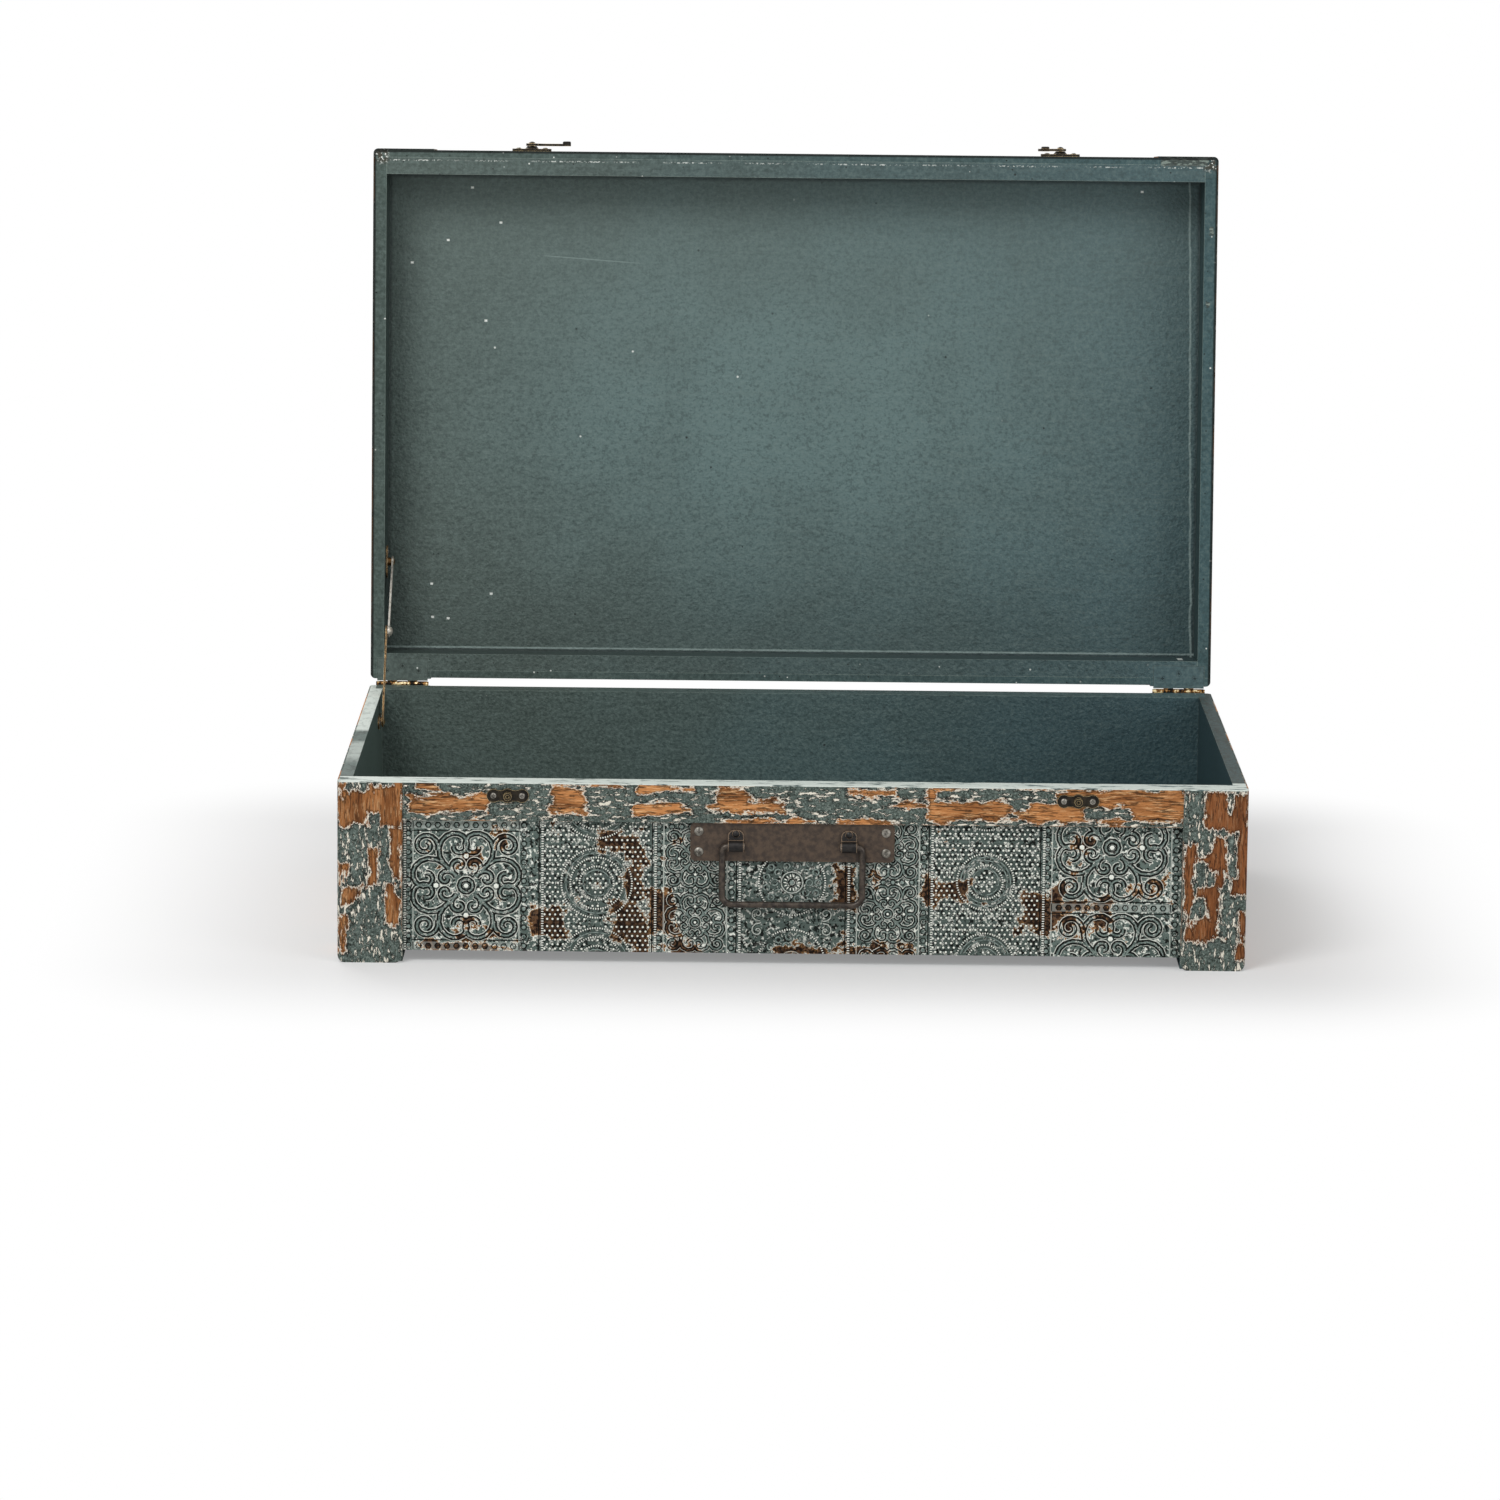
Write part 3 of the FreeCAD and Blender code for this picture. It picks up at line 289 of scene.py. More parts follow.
class Finish(Graph):
    """The tree of one material.  Its spot is a point's place, on the lid as if it were closed."""

    def __init__(self, name, on_lid=False):
        self.material = bpy.data.materials.new(name)
        self.material.use_nodes = True
        super().__init__(self.material.node_tree)
        self.tree.nodes.clear()
        self.on_lid = on_lid
        self.place = self.node("ShaderNodeTexCoord").also("Object")
        if on_lid:
            shift = close_turn.to_translation()
            self.place = self.node("ShaderNodeMapping", self.place, shift, (open_angle, 0, 0))
        self.spot = self.xyz(self.place)

    def moved(self, shift=0.0, **shares):
        """The place, moved by shift, with the named axes shortened to a share."""
        if not shift and not shares:
            return self.place
        scale = tuple(shares.get(axis, 1.0) for axis in "xyz")
        return self.node("ShaderNodeMapping", Vector=self.place, Location=(shift,) * 3, Scale=scale)

    def noise(self, size, detail=3.0, rough=0.5, swirl=0.0, **move):
        """Noise whose blots are about size millimetres across."""
        return self.node("ShaderNodeTexNoise", Vector=self.moved(**move), Scale=1 / (size * MM),
                         Detail=detail, Roughness=rough, Distortion=swirl)

    def blots(self, size, low, high, detail=3.0, rough=0.5, **move):
        """1 in the blots of a noise, 0 between them."""
        return self.step(self.noise(size, detail, rough, **move), low, high)

    def specks(self, spacing, radius, **move):
        """1 inside round specks scattered about spacing apart, in millimetres."""
        place = self.moved(**move)
        away = self.node("ShaderNodeTexVoronoi", Vector=place, Scale=1 / (spacing * MM))
        return 1 - self.step(away, 0.7 * radius / spacing, 1.3 * radius / spacing)

    def mix(self, share, first, second, kind="MIX"):
        """Two colours mixed.  They are inputs 6 and 7, because the node has others for numbers."""
        return self.node("ShaderNodeMix", share, *[None] * 5, first, second, data_type="RGBA",
                         blend_type=kind, output=2)

    def coats(self, base, *coats):
        """Colours laid over a base one after the other, each with its share."""
        for share, coat in coats:
            base = self.mix(share, base, coat)
        return base

    def blend(self, share, first, second):
        """A number that goes from first to second."""
        return first + (second - first) * share

    def both(self, share, first, second):
        """A look that goes from first to second: colour, roughness and height."""
        rest = [self.blend(share, a, b) for a, b in zip(first[1:], second[1:])]
        return self.mix(share, first[0], second[0]), *rest

    def edges(self, radius):
        """1 on sharp edges and 0 on flat faces, from a rounded and the true normal."""
        soft = self.node("ShaderNodeBevel", Radius=radius * MM, samples=6)
        true = self.node("ShaderNodeNewGeometry").also("Normal")
        along = self.node("ShaderNodeVectorMath", soft, true, operation="DOT_PRODUCT")
        return 1 - along.also("Value")

    def raised(self, height, depth, strength=1.0):
        """A normal from a height of 0 to 1 that stands for depth millimetres."""
        return self.node("ShaderNodeBump", Strength=strength, Distance=depth * MM, Height=height)

    def surface(self, base, rough, normal=None, metal=0.0, shine=0.5):
        """Ends the tree in one shader and returns the material."""
        shader = self.node("ShaderNodeBsdfPrincipled", Base_Color=base, Roughness=rough,
                           Metallic=metal, Specular_IOR_Level=shine, Normal=normal)
        self.node("ShaderNodeOutputMaterial", shader)
        return self.material

    def painted(self, look, depth, shine):
        """Ends the tree in a look whose height stands for depth millimetres."""
        base, rough, height = look
        return self.surface(base, rough, self.raised(height, depth), shine=shine)


def dress(material, *names):
    """Gives nodes a finish in place of the plain one they came with."""
    for name in names:
        nodes[name].data.materials.clear()
        nodes[name].data.materials.append(material)


def pair(*names):
    """The names of the left and the right piece of each kind."""
    return [side + "_" + name for name in names for side in ("left", "right")]


print("words for finishes:", [word for word in vars(Finish) if word[0] != "_"])

# %% [markdown]
# ## Board paint
#
# Inside, the trunk is rolled with a dull grey-green paint.  A roller leaves a fine orange peel and
# a cloudy, slightly streaked tone.  Dust gives it pale specks, and small bubbles burst into dark
# pits.  All of it is noise of different sizes; one texture could not be both cloudy and fine.

# %% Board paint
PAINT_LEFT = colour(85, 99, 93)
PAINT_RIGHT = colour(74, 101, 105)
PAINT_MIDDLE = colour(105, 130, 129)
PAINT_DEEP = colour(46, 60, 58)
PAINT_PALE = colour(116, 134, 130)
# the colour of painted shade
PAINTED_SHADE = colour(34, 44, 44)
PAINT_TEAL = colour(20, 50, 64)
DUST = colour(240, 244, 238)
# dark pits and specks, and painted shade along the lid's edges
SOOT_AND_SHADE = colour(16, 20, 18)


def board_paint(f, middle=0.0):
    """Colour, roughness and height of the rolled paint inside, paler where middle is 1, a painted
    pool of light.
    """
    cloud = f.noise(90, 2, 0.5)
    mottle = f.noise(3.2, 4, 0.7)
    streak = f.noise(3.0, 3, 0.6, x=0.06)
    pits = f.specks(24, 0.9, shift=0.3) * f.blots(60, 0.46, 0.58)
    dust = f.specks(42, 0.9) * f.blots(40, 0.44, 0.54, 2)
    base = f.mix(f.step(f.spot[0] + 0.3 * (cloud - 0.5), -0.34, 0.36), PAINT_LEFT, PAINT_RIGHT)
    base = f.coats(base,
                   # middle: a painted pool of light, paler in the lid's middle
                   (middle, PAINT_MIDDLE),
                   (0.16 * f.step(cloud, 0.62, 0.36), PAINT_DEEP),
                   (0.36 * f.step(mottle, 0.48, 0.66), PAINT_PALE),
                   (0.46 * f.step(mottle, 0.52, 0.34), PAINT_DEEP),
                   (0.16 * f.step(streak, 0.52, 0.70), PAINT_PALE),
                   (0.85 * pits, SOOT_AND_SHADE),
                   (0.95 * dust, DUST))
    peel = f.noise(2.4, 2, 0.5) + 0.6 * f.noise(6, 2, 0.5)
    return base, 0.42 + 0.25 * mottle, peel / 1.6 - 0.3 * pits


print("board paint in linear light:", [round(part, 3) for part in PAINT_MIDDLE])

# %% [markdown]
# ## Worn strips
#
# The strips were painted over a pale primer and then sanded through.  What is left of the paint
# lies in ragged islands that run along the grain, each with a rim of primer where the sander
# thinned it, and the orange-brown wood shows between them.  One noise, stretched along the grain,
# gives islands, rims and bare wood at once: three steps at nearly the same level of it follow each
# other like contour lines.  Sharp edges wear first, so the edge mask raises it there.  A share below
# one for the axis of the grain draws a noise out along it.

# %% Bare wood
WOOD_DARK = colour(112, 66, 32)
WOOD = colour(206, 140, 84)
WOOD_LIGHT = colour(238, 194, 142)
WOOD_RIGHT_TINT = colour(208, 196, 196)
PRIMER = colour(244, 238, 222)
# dark cracks and pores, also the painted shade along the edges of the paint
CRACK_AND_SHADE = colour(16, 14, 8)
CHIP_DEEP = colour(52, 62, 57)
CHIP = colour(90, 103, 97)
CHIP_PALE = colour(146, 158, 150)
ISLAND_RISE = 90            # millimetres of field for a whole step of the noise


def bare_wood(f, axis):
    """The look of sanded wood with its grain along axis, darker on posts, most on the right."""
    broad = f.noise(14, 3, 0.6, 0.6, **{axis: 0.12})
    fine = f.noise(1.1, 4, 0.75, 0.2, **{axis: 0.09})
    pores = f.blots(1.1, 0.54, 0.60, 3, 0.6, shift=0.7, **{axis: 0.10})
    base = f.coats(f.mix(f.step(broad, 0.24, 0.62), WOOD_DARK, WOOD),
                   (0.85 * f.step(fine, 0.52, 0.66), WOOD_LIGHT),
                   (0.75 * f.step(fine, 0.45, 0.34), WOOD_DARK),
                   (0.75 * pores, CRACK_AND_SHADE))
    if axis == "z":
        base = f.mix(0.40, base, WOOD_DARK)
        # the posts' wood made darker towards the right
        base = f.mix(f.step(f.spot[0], 0.0, 0.3), base, WOOD_RIGHT_TINT, "MULTIPLY")
    return base, 0.62 + 0.2 * fine, 0.55 * fine - 0.4 * pores


print("sanded wood in linear light:", [round(part, 3) for part in WOOD])

# %% [markdown]
# A named bare place or a named island comes in as how deep a point lies inside it.  Where the
# oblongs of a list meet, the deepest counts, and the fine noises fray their straight sides.

# %% Chipped paint
def depth_in(u, v, patches):
    """How many millimetres a point lies inside the nearest of several oblongs, if any are given."""
    depth = None
    for middle_u, middle_v, half_u, half_v in patches:
        in_u = half_u - abs(u / MM - middle_u)
        in_v = half_v - abs(v / MM - middle_v)
        inside = in_u.least(in_v)
        depth = inside if depth is None else depth.most(inside)
    return depth


def chipped_paint(f, axis, level, seed=0.0, worn=0.0, bare=None, kept=None):
    """Colour, roughness and height of sanded paint over primer over wood."""
    wood, wood_rough, wood_height = bare_wood(f, axis)
    islands = f.noise(24, 6, 0.62, 0.35, shift=seed, **{axis: 0.34})
    lobes = f.noise(15, 2, 0.5, shift=seed, **{axis: 0.70})
    ragged = f.noise(5, 5, 0.74, 0.2, shift=seed, **{axis: 0.34})
    field = ISLAND_RISE * (islands - level)
    if bare is not None:
        field = field.most(bare)
    if kept is not None:
        field = field.least(0 - kept)
    field = field + 14 * (lobes - 0.5) + 17 * (ragged - 0.5) + worn
    paint = 1 - f.step(field, 0.0, 0.4)
    rim = (1 - f.step(field, 0.9, 1.5)) * f.blots(3, 0.38, 0.46, 3, 0.7)
    crack = f.step(field, 1.6, 2.2) * (1 - f.step(field, 2.4, 3.4))
    # shade: a dark line just inside the edge of each paint island, a painted shade
    shade = f.step(field, -1.5, -0.4) * paint
    tone = f.noise(5, 5, 0.7)
    speck = f.noise(1.5, 3, 0.7, shift=0.6)
    chips = f.noise(2.6, 4, 0.7, shift=0.9, **{axis: 0.34})
    coat = f.coats(f.mix(f.step(tone, 0.3, 0.55), CHIP_DEEP, CHIP),
                   (0.8 * f.step(tone, 0.55, 0.75), CHIP_PALE),
                   (0.80 * f.step(speck, 0.55, 0.62), CHIP_PALE),
                   (0.85 * f.step(speck, 0.45, 0.37), CRACK_AND_SHADE),
                   (0.9 * f.step(chips, 0.525, 0.55).most(1.1 * shade), CRACK_AND_SHADE),
                   (0.95 * f.step(chips, 0.575, 0.60), PRIMER))
    base = f.coats(wood, (0.95 * rim, PRIMER), (0.7 * crack, CRACK_AND_SHADE), (paint, coat))
    rough = f.blend(paint, wood_rough, 0.48 + 0.2 * tone)
    height = 0.4 * wood_height * (1 - rim) + 0.4 * rim + 0.6 * paint + 0.15 * speck
    return base, rough, height


print("a whole step of the island noise stands for", ISLAND_RISE, "mm")

# %% [markdown]
# ## Embossed sheet
#
# The sheet is painted like the strips and rubbed, so the relief keeps pale primer on its
# shoulders, which also stands for a painted highlight there.  Specks of grime lie on it, the
# corners beside the relief are darkened as painted shade, and brown rust has eaten through in
# patches.  The relief itself says how high each of its points is, in an attribute named tone, and
# the colours follow it: dark at the foot as painted shade, pale on the shoulder, painted on the
# crown.

# %% Embossed sheet
RUST = colour(104, 74, 50)
RUST_DEEP = colour(34, 18, 10)
RUST_EDGE = colour(196, 142, 84)
# pale rubbed spots, also the painted highlight on the relief's shoulders
RUBBED_AND_HIGHLIGHT = colour(252, 254, 244)
# dark specks, also the painted shade at the foot of the relief
GRIME_AND_SHADE = colour(4, 7, 3)
SHEET_DEEP = colour(74, 88, 83)
SHEET = colour(104, 119, 113)
SHEET_PALE = colour(142, 156, 150)


def embossed(f, eaten):
    """Colour, roughness and height of the painted, rubbed and rusted sheet."""
    tone = f.node("ShaderNodeAttribute", attribute_name="tone").also("Fac")
    cloud = f.noise(24, 4, 0.6)
    grain = f.noise(3.0, 3, 0.65)
    stipple = f.noise(3.0, 3, 0.65, shift=0.4)
    base = f.coats(f.mix(f.step(cloud, 0.2, 0.6), SHEET_DEEP, SHEET),
                   (0.90 * f.step(stipple, 0.54, 0.60), RUBBED_AND_HIGHLIGHT),
                   (0.95 * f.step(grain, 0.53, 0.58), GRIME_AND_SHADE))
    crown = f.mix(f.step(grain, 0.35, 0.55), SHEET_DEEP, SHEET_PALE)
    crown = f.mix(0.8 * f.step(stipple, 0.58, 0.63), crown, GRIME_AND_SHADE)
    rusted = f.step(eaten, 0.0, 0.4)
    fresh = rusted * (1 - f.step(eaten, 0.8, 2.2))
    flaked = f.step(eaten, -1.3, -0.8) * (1 - rusted)
    rust = f.mix(f.step(grain, 0.40, 0.56), RUST, RUST_DEEP)
    # shoulder: pale, partly rubbed primer and partly a painted highlight
    shoulder = f.step(tone, 0.60, 0.74) * f.step(cloud + 0.6 * grain, 0.50, 0.70)
    # foot: dark at the foot of the relief, a painted shade
    foot = 1 - f.step(tone, 0.20, 0.42)
    base = f.coats(base,
                   (f.step(tone, 0.42, 0.46), crown),
                   (0.97 * rusted, rust),
                   (0.7 * fresh, RUST_EDGE),
                   (0.90 * flaked, RUBBED_AND_HIGHLIGHT),
                   (0.97 * foot, GRIME_AND_SHADE),
                   (0.95 * shoulder, RUBBED_AND_HIGHLIGHT))
    rough = 0.45 + 0.25 * grain + 0.15 * rusted
    return base, rough, 0.5 * grain + 0.5 * stipple - 0.4 * rusted


print("embossed sheet in linear light:", [round(part, 3) for part in SHEET])

# %% [markdown]
# ## Metal fittings
#
# The handle is steel with a dark brown finish, satin on the bail; pale edges on the bail and the
# lugs are painted highlights.  Hinges, catches and stay are aged brass: nearly black in the hollows
# and gold where an edge is rubbed, and on the catches and the stay's lower arm that gold is partly a
# painted highlight.  The stay's upper arm is pale all over, a painted highlight.  The screws are
# plain steel, painted dark along the edges of their heads and slots, a painted shade.

# %% Metal fittings
def metal_finish(name, deep, plain, bright, rough, metal, wear=1.0, reach=0.8):
    """A mottled metal with edges coloured as far in as reach, in millimetres: rubbed metal, in places
    a painted highlight, and on the screws a painted shade.
    """
    f = Finish(name)
    mottle = f.noise(4, 5, 0.65)
    fine = f.noise(0.8, 2, 0.6)
    edge = f.step(f.edges(reach) + 0.25 * (mottle - 0.5), 0.04, 0.22)
    base = f.coats(f.mix(f.step(mottle, 0.35, 0.65), colour(*deep), colour(*plain)),
                   (0.5 * f.step(fine, 0.55, 0.75), colour(*deep)),
                   (wear * edge, colour(*bright)))
    normal = f.raised(fine + 0.4 * mottle, 0.08)
    return f.surface(base, rough + 0.25 * (mottle - 0.5), normal, metal)


METALS = (                  # pieces, then what metal_finish takes
    (["handle_plate"],
     "dark_handle_plate", (54, 43, 35), (86, 70, 56), (128, 108, 88), 0.55, 0.15, 0.6),
    # the lugs' pale edges are painted highlights
    (pair("handle_lug") + ["handle_rivets"],
     "dark_handle_lugs", (18, 17, 17), (44, 40, 38), (186, 158, 130), 0.36, 0.4, 0.9, 1.5),
    # the bail's pale edges are painted highlights
    (["handle_bail"],
     "satin_bail", (44, 38, 33), (86, 76, 67), (214, 202, 186), 0.32, 0.4, 0.9, 1.4),
    # the catches' gold edges: partly rubbed brass, partly painted highlight
    (pair("catch_plate", "catch_rivet", "catch_hook", "striker"),
     "blackened_brass_catches", (16, 14, 10), (50, 43, 32), (216, 190, 140), 0.36, 0.6),
    # the upper arm pale all over: a painted highlight
    (["stay_upper_arm"],
     "bright_stay_arm", (172, 164, 150), (226, 220, 208), (252, 250, 246), 0.34, 0.5),
    # the lower arm's gold edges: partly rubbed brass, partly painted highlight
    (["stay_lower_arm", "stay_case_bracket", "stay_lid_bracket"],
     "rubbed_bronze_stay", (66, 44, 22), (150, 112, 66), (236, 214, 170), 0.34, 0.7),
    # the screws' dark edge colour: painted shade in their slots and round their heads
    (["handle_screws", "striker_screws", "catch_screws", "stay_case_screws", "stay_lid_screws"],
     "steel_screws", (84, 80, 72), (176, 172, 162), (14, 12, 10), 0.42, 0.5),
)
for names, *look in METALS:
    dress(metal_finish(*look), *names)
print("metals dressed:", [look[1] for look in METALS])

# %% [markdown]
# A hinge is painted over with the rims, so its leaves carry the board paint.  Its barrel turns and
# rubs, so around the pin the finish goes over to mottled brass.

# %% Hinges
def hinge_finish(on_lid):
    """Board paint on the leaves and brass on the barrels."""
    f = Finish("painted_hinge_" + ("lid" if on_lid else "case"), on_lid)
    base, rough, height = board_paint(f)
    away_y = f.spot[1] - pin.y
    away_z = f.spot[2] - pin.z
    barrel = 1 - f.step((away_y * away_y + away_z * away_z) ** 0.5, 2.4 * MM, 3.0 * MM)
    mottle = f.noise(5, 4, 0.6)
    brass = f.mix(f.step(mottle, 0.44, 0.48), colour(24, 18, 12), colour(146, 104, 56))
    brass = f.mix(f.step(mottle, 0.53, 0.57), brass, colour(240, 222, 176))
    worn = f.step(f.edges(0.7) + 0.2 * (mottle - 0.5), 0.06, 0.24)
    base = f.coats(base, (0.6 * worn, SOOT_AND_SHADE), (0.9 * f.specks(9, 0.7), DUST), (barrel, brass))
    return f.surface(base, f.blend(barrel, rough, 0.34), f.raised(height, 0.15), 0.85 * barrel)


dress(hinge_finish(False), *pair("hinge_case_leaf", "hinge_pin"), "case_hinge_screws")
dress(hinge_finish(True), *pair("hinge_lid_leaf"), "lid_hinge_screws")
print("finishes so far:", [m.name for m in bpy.data.materials])

# %% [markdown]
# ## Paint the boards
#
# A board is not the same on all its faces.  The side boards are smooth inside and sanded outside,
# and the faces that meet when the lid closes were painted whole on every strip.  The place of a
# point says which face it is on, so one material can hold both finishes with a mask between them.
# For the lid, the same masks are read at the place that the point has when the lid is closed.

# %% Masks on the boards
case_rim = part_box("front_top_rail")[1].z
lid_rim = closed_box("lid_front_rail")[0].z
board_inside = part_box("right_side_board")[0].x
board_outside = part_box("right_side_board")[1].x
front_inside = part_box("front_board")[1].y
panel_low, panel_high = closed_box("lid_top_board")
lid_front = closed_box("lid_front_rail")[0].y
lid_side = closed_box("lid_front_right_post")[1].x
recess_front = closed_box("lid_front_board")[1].y
recess_back = closed_box("lid_back_board")[0].y
FACE = 0.6 * MM             # how near to a face a point counts as on it


def rim_mask(f):
    """1 on the faces that meet when the lid closes."""
    if f.on_lid:
        return 1 - f.step(f.spot[2], lid_rim + FACE, lid_rim + 2 * FACE)
    return f.step(f.spot[2], case_rim - 2 * FACE, case_rim - FACE)


def lid_middle_glow(f):
    """1 in the middle of the lid, falling off to its rims: where a pool of light is painted."""
    x, y, z = f.spot
    across = x / panel_high.x
    along = (y - (recess_back + recess_front) / 2) / ((recess_back - recess_front) / 2)
    return 0.9 * (1 - f.step((across * across + along * along) ** 0.5, 0.10, 1.25))


print("the rims are at", round(case_rim, 4), "and", round(lid_rim, 4), "m")

# %% [markdown]
# The inside of the lid is the largest plain face, so its few marks show: beads of filler along two
# walls, drawn only as pale lines of painted highlight, a long scratch, lumps of dust under the paint
# and a hanging chip.  Painted shade darkens its walls, the strip along their foot and its end by the
# hinge, and painted light makes its upper edge paler.  Each is a mask worked out from where a point
# lies.  An image could hold them too, but it would stretch with the lid.

# %% Marks, painted light and painted shade inside the lid
# pale lines: the painted highlight of the beads, and the colour of the scratch
BEAD = colour(170, 190, 186)
BEAD_START = (0.330, -0.243)            # metres, on the closed lid
BEAD_LEAN = 0.016
SCRATCH_START = (-0.213, -0.185)
SCRATCH_SLOPE = 0.07
SCRATCH_ENDS = ((-0.215, -0.20), (-0.15, -0.12))
DUST_SPOTS = ((-270, -241), (-290, -197), (-246, -212), (-320, -178), (-258, -130), (290, -243),
              (-301, 119), (-288, 120), (-252, 99), (-302, 91))
DUST_HALF = (1.2, 0.9)
HANGING_CHIP = ((326, 170, 2.2, 11),)


def lid_marks_light_and_shade(f, base, rim):
    """Beads of filler along the walls of the recess as pale lines of painted highlight, a scratch, a
    chip and lumps of dust, with painted light and painted shade.
    """
    x, y, z = f.spot
    wall = (1 - f.step(z, panel_low.z - 2 * FACE, panel_low.z - FACE)) * (1 - rim)
    panel = (1 - wall) * (1 - rim)
    near = (board_inside - abs(x)).least(y - recess_front).least(recess_back - y)
    crease = 1 - f.step(near, 0.5 * MM, 4 * MM)
    wave = 3.5 * MM * (f.noise(22, 3, 0.6) - 0.5)
    off_side = abs(x - BEAD_START[0] - BEAD_LEAN * (y - BEAD_START[1]) + wave)
    off_back = abs(recess_back - 2.4 * MM - y) + 1.2 * MM * f.noise(9, 3, 0.7) - 0.5 * MM
    beads = (1 - f.step(off_side.least(off_back), 0.3 * MM, 1.3 * MM)) * panel
    off_line = abs(y - SCRATCH_START[1] - SCRATCH_SLOPE * (x - SCRATCH_START[0]))
    scratch = (1 - f.step(off_line, 0.2 * MM, 0.7 * MM)) * panel
    scratch = scratch * f.step(x, *SCRATCH_ENDS[0]) * (1 - f.step(x, *SCRATCH_ENDS[1]))
    lumps = depth_in(x, y, [spot + DUST_HALF for spot in DUST_SPOTS]).above(0.0) * panel
    chip = depth_in(x, z, HANGING_CHIP).above(0.0) * wall * y.above(0.0)
    return f.coats(base,
                   # painted light: paler towards the upper edge of the open lid
                   (0.30 * panel * f.step(y, 0.0, -0.25), PAINT_PALE),
                   # painted shade: darker towards the hinge
                   (0.22 * panel * f.step(y, 0.04, 0.16), PAINT_DEEP),
                   # painted shade on the walls and along their foot
                   ((0.55 * wall).most(0.6 * crease * panel), PAINTED_SHADE),
                   # the beads have no shape of their own; this pale line is their painted highlight
                   (0.60 * beads, BEAD),
                   (0.30 * scratch, BEAD),
                   (lumps.most(chip), DUST))


print("lumps of dust:", len(DUST_SPOTS))

# %% [markdown]
# The rims take the knocks.  The lid's has a broken line of primer dots, specks and brown stains at
# its corners, and painted shade darkens it a little and lines its outer edge.  The case's is nearly
# white in front, a painted reflection, has two pale lengths of painted sunlight on its left side,
# and is grey-brown on its right side, where painted shade darkens the inner wall.

# %% Worn rims, with painted light and painted shade
# pale worn paint, also the painted highlight on edges and painted light on the left rim
RIM_WEAR_AND_LIGHT = colour(150, 166, 158)
# painted highlight: the reflection on the front rim and the sunlight on the left one
RIM_HIGHLIGHT = colour(232, 240, 232)
RIM_BROWN = colour(72, 66, 54)
RIM_GRIME = colour(46, 52, 46)
RIM_STAINS = ((322, -269, 20, 4.5), (345, -211, 1.6, 3.4), (343, -150, 1.4, 2.2))
DOTTED_LINE = -0.263                    # these are metres, and pairs are where a mask starts and ends
SIDE_RIM = (0.336, 0.340)
FRONT_CORNER = (-0.264, -0.258)
RIGHT_CORNER = (-0.245, -0.243)
# lengths of the left rim that carry painted sunlight
BACK_SUNLIT = (-0.058, -0.040)
FRONT_SUNLIT = ((-0.20, -0.16), (-0.11, -0.092))


def lid_rim_wear_and_shade(f, base, rim):
    """A broken line of primer dots along the front, specks and brown stains at the corners, with
    painted shade on the whole rim and along its outer edge.
    """
    x, y, z = f.spot
    speck = f.specks(10, 0.7, shift=0.8) * f.blots(25, 0.46, 0.54)
    soot = f.specks(7, 0.7, shift=1.7) * f.blots(30, 0.44, 0.56)
    side = f.step(abs(x), *SIDE_RIM)
    row = 1 - f.step(abs(y - DOTTED_LINE), 0.2 * MM, 0.8 * MM)
    row = row * f.blots(30, 0.40, 0.56) * f.blots(1.6, 0.50, 0.60)
    corner = side * (1 - f.step(y, *FRONT_CORNER)) * f.blots(4, 0.42, 0.48, 3, 0.7)
    stain = f.step(depth_in(x, y, RIM_STAINS) + 7 * (f.noise(4, 3, 0.7) - 0.5), -0.5, 0.5)
    scratch = f.blots(3, 0.50, 0.56, 4, 0.7, x=0.4, y=1.6)
    arris = f.step(abs(x), lid_side - 2.6 * MM, lid_side - 1.8 * MM)
    arris = arris.most(1 - f.step(y, lid_front + 1.6 * MM, lid_front + 2.4 * MM))
    return f.coats(base,
                   # painted shade: the whole rim a little darker
                   (0.10 * rim, PAINTED_SHADE),
                   (0.85 * rim * soot, SOOT_AND_SHADE),
                   (0.9 * rim * speck.most(0.8 * row * (1 - side)), DUST),
                   (rim * (0.8 * corner).most(stain * f.blend(scratch, 0.5, 0.85)), RIM_BROWN),
                   (rim * corner * f.blots(1.6, 0.56, 0.62, 2), DUST),
                   (0.7 * rim * stain * scratch, RIM_WEAR_AND_LIGHT),
                   # painted shade: a dark line along the rim's outer edge
                   (0.85 * arris * rim, SOOT_AND_SHADE))


